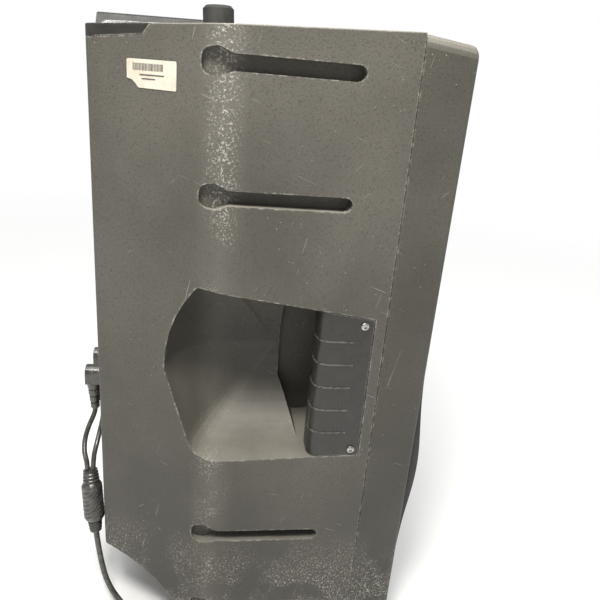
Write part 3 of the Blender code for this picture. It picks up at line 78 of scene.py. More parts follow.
# Distances over which the floor turns from paint into the room's white.
FLOOR_FADE = (0.9, 3.0)

# Share of the visible white room that lights the object.
ROOM_LIGHT = 0.42

# An even glow from above, and two disk lamps as (place, target, diameter, watts, colour).
OVERHEAD_STRENGTH = 1.7
OVERHEAD_SPREAD = math.radians(50)
KEY_TARGET = Vector((-0.20, 0.0, 0.60))
KEY_OFFSET = Vector((-0.58, 0.26, 0.90))
WARM_WHITE = (1.0, 0.98, 0.94)
WHITE = (1.0, 1.0, 1.0)
LAMPS = {
    "key": (KEY_TARGET + KEY_OFFSET, KEY_TARGET, 0.34, 19, WARM_WHITE),
    "fill_front": ((-0.6, -2.4, 1.4), (0.0, 0.0, 0.36), 1.6, 9, WHITE),
}

# Corner radii that the mouldings get on top of the frame's own shapes.
SOFTENED = {
    "rear_enclosure": 0.0007,
    "front_baffle": 0.0006,
    "side_grip_left": 0.0003,
    "side_grip_right": 0.0003,
    "top_handle": 0.0006,
    "amp_panel": 0.0003,
    "heat_sink": 0.0003,
    "input_plug_1": 0.0003,
    "input_plug_2": 0.0003,
}

# ---- Cord, whose route the frame's own solids follow --------------------------------------
TAIL_DIAMETER = 0.006
TRUNK_DIAMETER = 0.007
FLOOR_CORD_Z = TRUNK_DIAMETER / 2 + 0.0005
COIL_CENTRE = (-0.360, 0.085)
COIL_RADIUS = 0.0385
COIL_TURNS = 4
COIL_PITCH = 0.0076
COIL_STEPS = 24
TAIL_ROUTES = (
    (
        (-0.1000, 0.2115, 0.2611),
        (-0.1003, 0.2120, 0.2565),
        (-0.1040, 0.2145, 0.2490),
        (-0.1105, 0.2190, 0.2380),
        (-0.1190, 0.2218, 0.2250),
        (-0.1290, 0.2205, 0.2145),
        (-0.1364, 0.2167, 0.2054),
        (-0.1379, 0.2160, 0.1958),
    ),
    (
        (-0.0500, 0.2115, 0.2611),
        (-0.0504, 0.2115, 0.2565),
        (-0.0545, 0.2105, 0.2485),
        (-0.0640, 0.2090, 0.2415),
        (-0.0850, 0.2062, 0.2380),
        (-0.1050, 0.2052, 0.2345),
        (-0.1215, 0.2064, 0.2250),
        (-0.1325, 0.2085, 0.2125),
        (-0.1379, 0.2092, 0.1963),
    ),
)
JUNCTION_TOP = Vector((-0.1380, 0.2125, 0.195))
JUNCTION_LOW = Vector((-0.1500, 0.2065, 0.113))
TRUNK_ROUTE = (
    (-0.1501, 0.2064, 0.1126),
    (-0.1535, 0.2035, 0.0900),
    (-0.1560, 0.2000, 0.0670),
    (-0.1575, 0.1950, 0.0420),
    (-0.1600, 0.1870, 0.0220),
    (-0.1680, 0.1740, 0.0085),
    (-0.1850, 0.1580, FLOOR_CORD_Z),
    (-0.2150, 0.1430, FLOOR_CORD_Z),
    (-0.2550, 0.1320, FLOOR_CORD_Z),
    (-0.3000, 0.1262, FLOOR_CORD_Z),
    (-0.3325, 0.1243, FLOOR_CORD_Z),
)
COIL_TOP_Z = FLOOR_CORD_Z + COIL_TURNS * COIL_PITCH
END_ROUTE = (
    (-0.3880, 0.1243, COIL_TOP_Z - 0.0020),
    (-0.4080, 0.1260, COIL_TOP_Z - 0.0105),
    (-0.4280, 0.1290, COIL_TOP_Z - 0.0190),
    (-0.4450, 0.1320, 0.0110),
    (-0.4600, 0.1345, 0.0102),
)


# ---- Camera, light and floor --------------------------------------------------------------
def add_camera():
    data = bpy.data.cameras.new("camera")
    data.sensor_width = 36.0
    data.lens = 34.8
    camera = bpy.data.objects.new("camera", data)
    right = Vector((-0.1242, -0.9890, 0.0805)).normalized()
    back = Vector((-0.9307, 0.1442, 0.3362)).normalized()
    up = back.cross(right).normalized()
    right = up.cross(back).normalized()
    turn = Matrix((right, up, back)).transposed().to_4x4()
    camera.matrix_world = Matrix.Translation((-0.769, 0.0657, 0.6564)) @ turn
    bpy.context.scene.collection.objects.link(camera)
    bpy.context.scene.camera = camera


def add_area_light(name, place, target, size, power, colour):
    data = bpy.data.lights.new(name, "AREA")
    data.shape = "DISK"
    data.size = size
    data.energy = power
    data.color = colour
    light = bpy.data.objects.new(name, data)
    aim = Vector(target) - Vector(place)
    light.location = place
    light.rotation_euler = aim.to_track_quat("-Z", "Y").to_euler()
    bpy.context.scene.collection.objects.link(light)


def add_lights():
    """A dim room that looks white, an overhead glow and a soft lamp near the top rear corner."""
    world = bpy.data.worlds.new("soft_room")
    world.use_nodes = True
    tree = world.node_tree
    room = tree.nodes["Background"]
    room.inputs["Strength"].default_value = ROOM_LIGHT
    seen = tree.nodes.new("ShaderNodeBackground")
    mixed = tree.nodes.new("ShaderNodeMixShader")
    tree.links.new(tree.nodes.new("ShaderNodeLightPath").outputs["Is Camera Ray"], mixed.inputs[0])
    for number, background in enumerate((room, seen), 1):
        background.inputs["Color"].default_value = (*WHITE, 1.0)
        tree.links.new(background.outputs[0], mixed.inputs[number])
    tree.links.new(mixed.outputs[0], tree.nodes["World Output"].inputs["Surface"])
    bpy.context.scene.world = world
    bpy.context.scene.view_settings.view_transform = "Standard"
    overhead = bpy.data.lights.new("overhead", "SUN")
    overhead.energy = OVERHEAD_STRENGTH
    overhead.angle = OVERHEAD_SPREAD
    item = bpy.data.objects.new("overhead", overhead)
    bpy.context.scene.collection.objects.link(item)
    for name, lamp in LAMPS.items():
        add_area_light(name, *lamp)


def add_floor():
    """A plain pale floor that fades into the white room far from the object."""
    bm = bmesh.new()
    bmesh.ops.create_grid(bm, x_segments=2, y_segments=2, size=40.0)
    floor = new_piece("floor", bm)
    look = Look("floor_paint", roughness=0.85)
    speckle = look.noise(3.0, 3)
    look.colour(look.mix(speckle, (0.90, 0.90, 0.89), (0.93, 0.93, 0.92)))
    x, y, _ = look.axes()
    reach = look.math("SQRT", look.math("ADD", look.product(x, x), look.product(y, y)))
    glow = look.tree.nodes.new("ShaderNodeEmission")
    mixed = look.tree.nodes.new("ShaderNodeMixShader")
    look.tree.links.new(look.level(reach, *FLOOR_FADE), mixed.inputs[0])
    look.tree.links.new(look.shader.outputs[0], mixed.inputs[1])
    look.tree.links.new(glow.outputs[0], mixed.inputs[2])
    look.tree.links.new(mixed.outputs[0], look.tree.nodes["Material Output"].inputs["Surface"])
    floor.data.materials.append(look.material)


# ---- Materials ----------------------------------------------------------------------------
class Look:
    """A Principled material with short helpers for its pattern nodes."""

    def __init__(self, name, roughness=0.5, metallic=0.0, **sockets):
        self.material = bpy.data.materials.new(name)
        self.material.use_nodes = True
        self.tree = self.material.node_tree
        self.shader = self.tree.nodes["Principled BSDF"]
        self.shader.inputs["Roughness"].default_value = roughness
        self.shader.inputs["Metallic"].default_value = metallic
        for socket, value in sockets.items():
            self.shader.inputs[socket.replace("_", " ")].default_value = value
        self.place = self.tree.nodes.new("ShaderNodeTexCoord").outputs["Object"]

    def feed(self, socket, value):
        if isinstance(value, bpy.types.NodeSocket):
            self.tree.links.new(value, socket)
        elif isinstance(value, tuple) and len(value) == 3 and socket.type == "RGBA":
            socket.default_value = (*value, 1.0)
        else:
            socket.default_value = value

    def stretched(self, sizes, turn=(0.0, 0.0, 0.0)):
        """Coordinates whose unit is a cell of the given sizes, turned about the origin."""
        node = self.tree.nodes.new("ShaderNodeMapping")
        node.vector_type = "TEXTURE"
        self.feed(node.inputs["Vector"], self.place)
        node.inputs["Scale"].default_value = sizes
        node.inputs["Rotation"].default_value = turn
        return node.outputs["Vector"]

    def dashes(self, sizes, turn, low, high):
        """Sparse thin streaks along the longest of the cell's sizes."""
        return self.level(self.noise(1.0, 1.0, 0.5, self.stretched(sizes, turn)), low, high)

    def upward(self, low, high):
        """1 where the surface faces up, 0 where it doesn't."""
        geometry = self.tree.nodes.new("ShaderNodeNewGeometry")
        turned = self.tree.nodes.new("ShaderNodeVectorTransform")
        turned.vector_type = "NORMAL"
        turned.convert_from = "WORLD"
        turned.convert_to = "OBJECT"
        self.feed(turned.inputs[0], geometry.outputs["True Normal"])
        split = self.tree.nodes.new("ShaderNodeSeparateXYZ")
        self.feed(split.inputs[0], turned.outputs[0])
        return self.level(split.outputs["Z"], low, high)

    def noise(self, scale, detail=2.0, roughness=0.5, at=None):
        node = self.tree.nodes.new("ShaderNodeTexNoise")
        self.feed(node.inputs["Vector"], at or self.place)
        node.inputs["Scale"].default_value = scale
        node.inputs["Detail"].default_value = detail
        node.inputs["Roughness"].default_value = roughness
        return node.outputs["Fac"]

    def cells(self, scale, at=None, feature="F1", output="Distance"):
        node = self.tree.nodes.new("ShaderNodeTexVoronoi")
        node.feature = feature
        self.feed(node.inputs["Vector"], at or self.place)
        node.inputs["Scale"].default_value = scale
        return node.outputs[output]

    def level(self, value, low, high, out_low=0.0, out_high=1.0):
        node = self.tree.nodes.new("ShaderNodeMapRange")
        for socket, number in zip(node.inputs, (value, low, high, out_low, out_high)):
            self.feed(socket, number)
        return node.outputs["Result"]

    def math(self, operation, a, b=0.0):
        node = self.tree.nodes.new("ShaderNodeMath")
        node.operation = operation
        self.feed(node.inputs[0], a)
        self.feed(node.inputs[1], b)
        return node.outputs[0]

    def product(self, first, *others):
        for other in others:
            first = self.math("MULTIPLY", first, other)
        return first

    def most(self, first, *others):
        for other in others:
            first = self.math("MAXIMUM", first, other)
        return first

    def mix(self, factor, a, b):
        node = self.tree.nodes.new("ShaderNodeMix")
        node.data_type = "RGBA"
        self.feed(node.inputs["Factor"], factor)
        self.feed(node.inputs[6], a)
        self.feed(node.inputs[7], b)
        return node.outputs[2]

    def axes(self):
        node = self.tree.nodes.new("ShaderNodeSeparateXYZ")
        self.feed(node.inputs[0], self.place)
        return node.outputs

    def near(self, value, centre, reach):
        """1 at centre, falling to 0 at reach away from it."""
        away = self.math("ABSOLUTE", self.math("SUBTRACT", value, centre))
        return self.level(away, 0.0, reach, 1.0, 0.0)

    def ridge(self, reach):
        """1 on outer edges, 0 on flats."""
        node = self.tree.nodes.new("ShaderNodeAmbientOcclusion")
        node.inside = True
        node.samples = 6
        node.inputs["Distance"].default_value = reach
        return self.level(node.outputs["AO"], 0.86, 0.55)

    def hollow(self, reach):
        """1 deep in corners, 0 in the open."""
        node = self.tree.nodes.new("ShaderNodeAmbientOcclusion")
        node.samples = 6
        node.inputs["Distance"].default_value = reach
        return self.level(node.outputs["AO"], 0.75, 0.25)

    def bump(self, height, strength, distance, below=None):
        node = self.tree.nodes.new("ShaderNodeBump")
        node.inputs["Strength"].default_value = strength
        node.inputs["Distance"].default_value = distance
        self.feed(node.inputs["Height"], height)
        if below is not None:
            self.feed(node.inputs["Normal"], below)
        return node.outputs["Normal"]

    def colour(self, value):
        self.feed(self.shader.inputs["Base Color"], value)

    def roughness(self, value):
        self.feed(self.shader.inputs["Roughness"], value)

    def normal(self, value):
        self.feed(self.shader.inputs["Normal"], value)


def moulded_plastic(name, base, dusty, worn):
    """Textured polypropylene: pebble grain, pale rubbed edges and fine scratches, paler up-facing faces from
    dust and painted light, and painted shade in hollows and towards the bottom.
    """
    look = Look(name, roughness=0.6, Specular_IOR_Level=0.45)
    dark = tuple(0.42 * c for c in base)
    pebble = look.level(look.cells(640.0, feature="SMOOTH_F1"), 0.10, 0.80)
    smears = look.noise(1.0, 4.0, 0.62, look.stretched((0.05, 0.05, 0.16)))
    tone = look.mix(look.level(look.noise(5.0, 3.0, 0.6), 0.38, 0.68), base, dusty)
    tone = look.mix(look.level(smears, 0.50, 0.78, 0.0, 0.40), tone, dusty)
    tone = look.mix(look.product(look.level(pebble, 0.45, 1.0), 0.55), tone, dark)
    # Faces that look up turn paler: settled dust and painted light from above.
    dust_and_top_light = look.product(look.upward(-0.05, 1.0), look.level(smears, 0.20, 0.62, 0.55, 0.95))
    tone = look.mix(dust_and_top_light, tone, DUST_AND_TOP_LIGHT)
    # Painted shade: darker deep in hollows and corners.
    tone = look.mix(look.product(look.hollow(0.016), 0.30), tone, dark)
    # Painted shade: darker towards the bottom, where the lamps' light falls off.
    painted_low_shade = look.level(look.axes()[2], 0.46, 0.02, 0.0, 0.50)
    tone = look.mix(painted_low_shade, tone, dark)
    wear = look.most(*wear_marks(look))
    look.colour(look.mix(wear, tone, worn))
    look.roughness(look.level(smears, 0.3, 0.8, 0.50, 0.66))
    rough = look.bump(look.product(pebble, -1.0), 0.60, 0.00035)
    look.normal(look.bump(look.noise(1700.0, 2.0), 0.25, 0.00012, rough))
    return look.material


def wear_marks(look):
    """Masks of what has rubbed through: the crease, edges, flecks, scratches, the low corner."""
    x, y, z = look.axes()
    speckle = look.level(look.noise(430.0, 3.0, 0.75), 0.53, 0.64)
    patches = look.level(look.noise(13.0, 3.0, 0.6), 0.40, 0.56)
    crease = look.product(look.near(y, CREASE_Y + 0.001, 0.021), patches, speckle)
    halo = look.product(look.near(y, CREASE_Y + 0.001, 0.026), 0.07)
    fleck_patches = look.level(look.noise(8.0, 2.0), 0.50, 0.60)
    flecks = look.product(look.level(look.cells(120.0), 0.085, 0.045), fleck_patches, 0.55)
    scratches = look.most(
        look.dashes((0.08, 0.045, 0.0012), (0.35, 0.0, 0.0), 0.785, 0.805),
        look.dashes((0.08, 0.0011, 0.052), (0.22, 0.0, 0.0), 0.790, 0.810),
        look.dashes((0.08, 0.026, 0.0009), (-0.75, 0.0, 0.0), 0.795, 0.815),
    )
    rubbed = look.level(look.noise(150.0, 4.0, 0.75), 0.47, 0.62)
    edges = look.product(look.ridge(0.0022), rubbed, 0.60)
    low = look.level(z, 0.16, 0.06)
    scuffs = look.product(low, speckle, look.level(look.noise(20.0, 3.0), 0.42, 0.54), 0.9)
    return look.product(crease, 0.95), halo, flecks, look.product(scratches, 0.42), edges, scuffs


def gloss_plastic():
    """Smoother black moulding with rubbed brownish edges and faint handling marks."""
    look = Look("grip_gloss", roughness=0.32, Specular_IOR_Level=0.5)
    marks = look.noise(60.0, 4.0, 0.65)
    tone = look.mix(
        look.level(marks, 0.45, 0.75, 0.0, 0.5),
        (0.022, 0.021, 0.018),
        (0.050, 0.044, 0.034),
    )
    rubbed = look.level(look.noise(210.0, 3.0, 0.7), 0.38, 0.60)
    edges = look.product(look.ridge(0.0016), rubbed, 0.80)
    look.colour(look.mix(edges, tone, (0.34, 0.32, 0.28)))
    look.roughness(look.level(marks, 0.35, 0.75, 0.24, 0.46))
    look.normal(look.bump(look.noise(900.0, 2.0), 0.10, 0.0001))
    return look.material


def simple_finish(
    name,
    base,
    other,
    scale,
    roughness,
    metallic=0.0,
    grain=900.0,
    depth=0.0001,
    **sockets,
):
    """A finish with mottled colour, uneven gloss and a fine bump."""
    look = Look(name, roughness, metallic, **sockets)
    mottle = look.noise(scale, 4.0, 0.6)
    look.colour(look.mix(look.level(mottle, 0.35, 0.7), base, other))
    look.roughness(look.level(mottle, 0.3, 0.75, roughness * 0.85, min(roughness * 1.2, 1.0)))
    look.normal(look.bump(look.noise(grain, 3.0), 0.35, depth))
    return look.material


def cord_jacket():
    """Soft vinyl jacket with faint dirt and a slightly wavy surface."""
    look = Look("cord_jacket", roughness=0.30, Specular_IOR_Level=0.80)
    dirt = look.noise(140.0, 4.0, 0.7)
    look.colour(look.mix(look.level(dirt, 0.45, 0.75), (0.036, 0.034, 0.029), (0.110, 0.101, 0.084)))
    look.roughness(look.level(dirt, 0.3, 0.8, 0.24, 0.40))
    look.normal(look.bump(look.noise(350.0, 2.0), 0.25, 0.0003))
    return look.material


def label_paper():
    """Cream label stock, with dirt and yellowing."""
    look = Look("label_stock", roughness=0.55)
    stain = look.noise(70.0, 4.0, 0.65)
    fibre = look.noise(900.0, 2.0)
    tone = look.mix(look.level(stain, 0.45, 0.75), (0.62, 0.57, 0.47), (0.50, 0.44, 0.34))
    look.colour(look.mix(look.level(fibre, 0.55, 0.8, 0.0, 0.35), tone, (0.40, 0.36, 0.29)))
    look.normal(look.bump(fibre, 0.2, 0.0001))
    return look.material


def foam_cloth():
    """Open black foam."""
    look = Look("open_foam", roughness=0.95, Specular_IOR_Level=0.15)
    pores = look.cells(620.0)
    look.colour(look.mix(look.level(pores, 0.2, 0.6), (0.004, 0.004, 0.004), (0.020, 0.020, 0.019)))
    look.normal(look.bump(pores, 0.8, 0.0008))
    return look.material


def make_finishes():
    """One material for each slot in the record."""
    return {
        "shell_plastic": moulded_plastic(
            "shell_grain", (0.062, 0.057, 0.046), (0.100, 0.093, 0.077), (0.50, 0.48, 0.42)
        ),
        "bezel_plastic": moulded_plastic(
            "bezel_grain", (0.044, 0.041, 0.031), (0.074, 0.070, 0.055), (0.42, 0.40, 0.34)
        ),
        "gloss_plastic": gloss_plastic(),
        "rubber": simple_finish(
            "soft_rubber", (0.020, 0.020, 0.019), (0.050, 0.048, 0.044), 90.0, 0.78, grain=1400.0
        ),
        "plated_steel": simple_finish(
            "plated_steel", (0.55, 0.54, 0.52), (0.34, 0.32, 0.29), 300.0, 0.32, 1.0, depth=0.00004
        ),
        "coated_steel": simple_finish(
            "powder_coat", (0.016, 0.016, 0.016), (0.034, 0.033, 0.031), 60.0, 0.52, grain=1600.0
        ),
        "cast_aluminium": simple_finish(
            "cast_aluminium", (0.30, 0.30, 0.31), (0.20, 0.20, 0.20), 120.0, 0.45, 1.0, grain=1300.0
        ),
        "ferrite": simple_finish(
            "ferrite", (0.030, 0.030, 0.032), (0.055, 0.054, 0.054), 200.0, 0.7, grain=1800.0
        ),
        "paper": simple_finish(
            "pulp_paper", (0.022, 0.021, 0.019), (0.045, 0.042, 0.038), 240.0, 0.9, grain=800.0, depth=0.0004
        ),
        "foam": foam_cloth(),
        "cloth": simple_finish(
            "treated_cloth", (0.23, 0.12, 0.045), (0.32, 0.18, 0.07), 500.0, 0.9, grain=1200.0, depth=0.0004
        ),
        "copper": simple_finish(
            "copper_wire",
            (0.62, 0.27, 0.12),
            (0.42, 0.17, 0.08),
            600.0,
            0.35,
            1.0,
        ),
        "label_paper": label_paper(),
        "circuit": simple_finish(
            "circuit_board",
            (0.015, 0.090, 0.040),
            (0.03, 0.14, 0.06),
            400.0,
            0.45,
        ),
        "cable_jacket": cord_jacket(),
        "printed_ink": simple_finish(
            "printed_ink",
            (0.05, 0.05, 0.05),
            (0.12, 0.11, 0.10),
            900.0,
            0.6,
        ),
        "pale_ink": simple_finish("pale_ink", (0.55, 0.55, 0.53), (0.42, 0.42, 0.40), 500.0, 0.55),
        "lamp": simple_finish("lamp_lens", (0.03, 0.30, 0.06), (0.05, 0.42, 0.10), 500.0, 0.2),
    }


def slot_of_nodes():
    """The record's material slot for each CAD node."""
    return {entry["node"]: entry["material_slot"] for entry in frame["record"]["subparts"]}


def finish_frame(finishes):
    """Gives every CAD node its finish, smooth round faces and softened corners."""
    slots = slot_of_nodes()
    for name, item in NODES.items():
        item.data.materials.clear()
        item.data.materials.append(finishes[slots[name]])
        item.data.shade_smooth()
        weld = item.modifiers.new("weld", "WELD")
        weld.merge_threshold = 1e-5
        if name in SOFTENED:
            soften(item, SOFTENED[name])
        else:
            split = item.modifiers.new("crisp", "EDGE_SPLIT")
            split.split_angle = math.radians(32)


def soften(item, width):
    """Rounds a moulding's corners by a hair, so that they catch the light."""
    bevel = item.modifiers.new("corner_radius", "BEVEL")
    bevel.width = width
    bevel.segments = 2
    bevel.limit_method = "ANGLE"
    bevel.angle_limit = math.radians(33)
    bevel.miter_outer = "MITER_ARC"
    split = item.modifiers.new("crisp", "EDGE_SPLIT")
    split.split_angle = math.radians(50)
    item.modifiers.new("flats", "WEIGHTED_NORMAL").keep_sharp = True


# ---- Piece building -----------------------------------------------------------------------
def new_piece(name, bm):
    """Links a mesh whose points are already in the frame's coordinates."""
    mesh = bpy.data.meshes.new(name)
    bm.to_mesh(mesh)
    bm.free()
    item = bpy.data.objects.new(name, mesh)
    bpy.context.scene.collection.objects.link(item)
    return item


def ring_of_points(bm, count, centre, turn, shape):
    """Points round an axis, at the (radius, height) that shape gives for each angle."""
    points = []
    for step in range(count):
        angle = 2 * math.pi * step / count
        radius, height = shape(angle)
        local = Vector((radius * math.cos(angle), radius * math.sin(angle), height))
        points.append(bm.verts.new(Vector(centre) + turn @ local))
    return points


def bridge(bm, rings):
    """Quads between each ring of points and the next."""
    for first, second in zip(rings, rings[1:]):
        for step in range(len(first)):
            following = (step + 1) % len(first)
            bm.faces.new((first[step], first[following], second[following], second[step]))


def outward_piece(name, bm):
    """A piece whose faces all look outwards."""
    bmesh.ops.recalc_face_normals(bm, faces=bm.faces)
    return new_piece(name, bm)


def turn_to(axis):
    """Rotation that brings +Z to an axis."""
    return Vector(axis).to_track_quat("Z", "Y").to_matrix()


def dressed(item, finishes, slot, smooth=35):
    """Sets a piece's finish and slot."""
    item.data.materials.append(finishes[slot])
    if smooth:
        item.data.shade_smooth()
        item.data.set_sharp_from_angle(angle=math.radians(smooth))
    return item


def finished(item, finishes, slot, body="cabinet", smooth=35):
    """Sets a piece's finish, slot and body."""
    dressed(item, finishes, slot, smooth)
    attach(item, body)
    return item


def smooth_route(route, spacing):
    """Evenly spaced points on a Catmull-Rom curve through a route's own points."""
    points = [Vector(point) for point in route]
    padded = [2 * points[0] - points[1], *points, 2 * points[-1] - points[-2]]
    fine = []
    for a, b, c, d in zip(padded, padded[1:], padded[2:], padded[3:]):
        for step in range(24):
            t = step / 24
            line = 2 * b + (c - a) * t
            bend = (2 * a - 5 * b + 4 * c - d) * t**2
            twist = (3 * b - a - 3 * c + d) * t**3
            fine.append(0.5 * (line + bend + twist))
    kept = [fine[0]]
    for point in fine[1:]:
        if (point - kept[-1]).length >= spacing:
            kept.append(point)
    if (points[-1] - kept[-1]).length < spacing / 2:
        kept.pop()
    return [*kept, points[-1]]


def cord_curve(name, points, diameter, finishes):
    """A round cord as one open spline."""
    curve = bpy.data.curves.new(name, "CURVE")
    curve.dimensions = "3D"
    curve.bevel_depth = diameter / 2
    curve.bevel_resolution = 5
    curve.use_fill_caps = True
    spline = curve.splines.new("POLY")
    spline.points.add(len(points) - 1)
    spline.use_smooth = True
    for point, place in zip(spline.points, points):
        point.co = (*place, 1.0)
    curve.materials.append(finishes["cable_jacket"])
    item = bpy.data.objects.new(name, curve)
    bpy.context.scene.collection.objects.link(item)
    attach(item, "cabinet")
    return item


def coil_points():
    """Turns of the coil, one resting on the next, from the floor up."""
    points = []
    for step in range(COIL_TURNS * COIL_STEPS + 1):
        share = step / COIL_STEPS
        angle = math.pi / 2 + 2 * math.pi * share
        x = COIL_CENTRE[0] + COIL_RADIUS * math.cos(angle)
        y = COIL_CENTRE[1] + COIL_RADIUS * math.sin(angle)
        points.append(Vector((x, y, FLOOR_CORD_Z + COIL_PITCH * share)))
    return points


# ---- Cords --------------------------------------------------------------------------------
def add_tails(finishes):
    for number, route in enumerate(TAIL_ROUTES, 1):
        points = smooth_route(route, 0.005)
        tail = cord_curve(f"signal_tail_{number}", points, TAIL_DIAMETER, finishes)
        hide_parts(f"cable_tail_{number}")


def add_trunk(finishes):
    ahead = smooth_route(TRUNK_ROUTE, 0.010)
    end = smooth_route(END_ROUTE, 0.010)
    points = [*ahead, *coil_points(), *end]
    trunk = cord_curve("signal_trunk", points, TRUNK_DIAMETER, finishes)
    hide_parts("cable_trunk", "cable_coil", "cable_end")
    tie = add_tie(finishes)


def add_tie(finishes):
    """A hook-and-loop strap round the coil's turns, on its far side."""
    bm = bmesh.new()
    half_width = 0.0055
    reach = TRUNK_DIAMETER / 2 + 0.0009
    low, high = FLOOR_CORD_Z, COIL_TOP_Z + 0.0005
    outline = []
    for step in range(9):
        angle = math.pi * step / 8
        outline.append((reach * math.cos(angle), high + reach * math.sin(angle)))
    for step in range(9):
        angle = math.pi + math.pi * step / 8
        outline.append((reach * math.cos(angle), low + (reach - 0.0006) * math.sin(angle)))
    centre_y = COIL_CENTRE[1] - COIL_RADIUS
    rings = []
    for x in (-half_width, half_width):
        rings.append([bm.verts.new((COIL_CENTRE[0] + x, centre_y + a, b)) for a, b in outline])
    bridge(bm, rings)
    tie = outward_piece("coil_tie", bm)
    solid = tie.modifiers.new("strap", "SOLIDIFY")
    solid.thickness = 0.0008
    solid.offset = 1.0
    return finished(tie, finishes, "rubber")


# ---- Front: perforated grille, surround and spider ----------------------------------------
GRILLE_HALF_WIDTH = 0.2044
GRILLE_HALF_HEIGHT = 0.3384
GRILLE_BORDER = 0.0075
GRILLE_COLUMNS = 50
GRILLE_ROWS = 98
GRILLE_HOLE = 0.0027
GRILLE_LIP = 0.012
GRILLE_THICKNESS = 0.0012
HEXAGON = [math.radians(angle) for angle in (210, 270, 330, 30, 90, 150)]


def grille_height(x, z):
    """How far the grille stands in front of the bezel, as the frame's own sheet does."""
    crown = 0.013 * (1 - (x / 0.205) ** 2)
    bulge = 0.010 * math.exp(-(((z - WOOFER_Z) / 0.075) ** 2))
    return 0.002 + crown + bulge


class GrilleSheet:
    """The grille's crowned face, with shared points placed from its middle."""

    def __init__(self):
        self.bm = bmesh.new()
        self.points = {}
        low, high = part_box("front_grille")
        self.middle = (low.z + high.z) / 2
        self.left = -GRILLE_HALF_WIDTH + GRILLE_BORDER
        self.low = -GRILLE_HALF_HEIGHT + GRILLE_BORDER
        self.pitch = -2 * self.left / GRILLE_COLUMNS
        self.row_pitch = -2 * self.low / GRILLE_ROWS

    def at(self, x, z):
        key = (round(x, 6), round(z, 6))
        if key not in self.points:
            y = BEZEL_Y - grille_height(x, self.middle + z)
            self.points[key] = self.bm.verts.new((x, y, self.middle + z))
        return self.points[key]

    def quad(self, x0, x1, z0, z1):
        self.bm.faces.new([self.at(x0, z0), self.at(x1, z0), self.at(x1, z1), self.at(x0, z1)])

    def cell(self, x0, z0):
        """One hole in its rectangle, whose long sides have a point at their middle."""
        x1, x2 = x0 + self.pitch / 2, x0 + self.pitch
        z1 = z0 + self.row_pitch
        corners = ((x0, z0), (x1, z0), (x2, z0), (x2, z1), (x1, z1), (x0, z1))
        rim = [self.at(x, z) for x, z in corners]
        middle_z = (z0 + z1) / 2
        ring = [
            self.at(x1 + GRILLE_HOLE * math.cos(a), middle_z + GRILLE_HOLE * math.sin(a))
            for a in HEXAGON
        ]
        for step in range(6):
            following = (step + 1) % 6
            self.bm.faces.new((rim[step], rim[following], ring[following], ring[step]))

    def perforate(self):
        """Rows of holes, every second row set across by half a pitch."""
        for row in range(GRILLE_ROWS):
            z0 = self.low + row * self.row_pitch
            shift = (row % 2) * self.pitch / 2
            if shift:
                for x0 in (self.left, self.left + (GRILLE_COLUMNS - 0.5) * self.pitch):
                    self.quad(x0, x0 + self.pitch / 2, z0, z0 + self.row_pitch)
            for column in range(GRILLE_COLUMNS - (row % 2)):
                self.cell(self.left + shift + column * self.pitch, z0)

    def add_border(self):
        xs = [self.left + step * self.pitch / 2 for step in range(2 * GRILLE_COLUMNS + 1)]
        zs = [self.low + row * self.row_pitch for row in range(GRILLE_ROWS + 1)]
        for side in (-1, 1):
            for x0, x1 in zip(xs, xs[1:]):
                self.quad(x0, x1, side * -self.low, side * GRILLE_HALF_HEIGHT)
            for z0, z1 in zip(zs, zs[1:]):
                self.quad(side * -self.left, side * GRILLE_HALF_WIDTH, z0, z1)
            for end in (-1, 1):
                across = (side * -self.left, side * GRILLE_HALF_WIDTH)
                self.quad(*across, end * -self.low, end * GRILLE_HALF_HEIGHT)

    def on_edge(self, vertex):
        beside = abs(abs(vertex.co.x) - GRILLE_HALF_WIDTH)
        above = abs(abs(vertex.co.z - self.middle) - GRILLE_HALF_HEIGHT)
        return min(beside, above) < 1e-5

    def turn_back(self):
        """Folds the outer edge back to the lip."""
        outer = [edge for edge in self.bm.edges if all(map(self.on_edge, edge.verts))]
        edges = [edge for edge in outer if edge.is_boundary]
        made = bmesh.ops.extrude_edge_only(self.bm, edges=edges)
        for part in made["geom"]:
            if isinstance(part, bmesh.types.BMVert):
                part.co.y = BEZEL_Y + GRILLE_LIP


def add_grille(finishes):
    """A steel sheet with staggered round holes and a plain border, turned back at its edge."""
    sheet = GrilleSheet()
    sheet.perforate()
    sheet.add_border()
    sheet.turn_back()
    bmesh.ops.recalc_face_normals(sheet.bm, faces=sheet.bm.faces)
    front = min(sheet.bm.faces, key=lambda face: face.calc_center_median().y)
    if front.normal.y > 0:
        bmesh.ops.reverse_faces(sheet.bm, faces=sheet.bm.faces)
    item = new_piece("perforated_grille", sheet.bm)
    solid = item.modifiers.new("sheet", "SOLIDIFY")
    solid.thickness = GRILLE_THICKNESS
    solid.offset = -1.0
    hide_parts("front_grille")
    finished(item, finishes, "coated_steel")


def lathe(name, profile, count, centre, axis):
    """A closed (radius, height) loop turned round an axis through centre."""
    turn = turn_to(axis)
    bm = bmesh.new()
    rings = [ring_of_points(bm, count, centre, turn, lambda _, at=at: at) for at in profile]
    bridge(bm, [*rings, rings[0]])
    return outward_piece(name, bm)


FORWARDS = (0, -1, 0)
WOOFER_CENTRE = (0.0, PANEL_FRONT_Y, WOOFER_Z)
ROLL_MIDDLE = 0.1645
ROLL_RADIUS = 0.0086
ROLL_RISE = 0.0080
ROLL_INNER_HEIGHT = -0.0076
ROLL_CLIMB = 0.0150
ROLL_STEPS = 18
RUBBER_THICKNESS = 0.0010
SURROUND_RIM = ((0.1808, 0.0056), (0.1808, 0.0068))
SPIDER_INNER = 0.0408
SPIDER_OUTER = 0.0965
SPIDER_HEIGHT = -0.0866
SPIDER_CLIMB = 0.0105
SPIDER_WAVE = 0.0016
SPIDER_WAVES = 7
SPIDER_STEPS = 48
CLOTH_THICKNESS = 0.0006


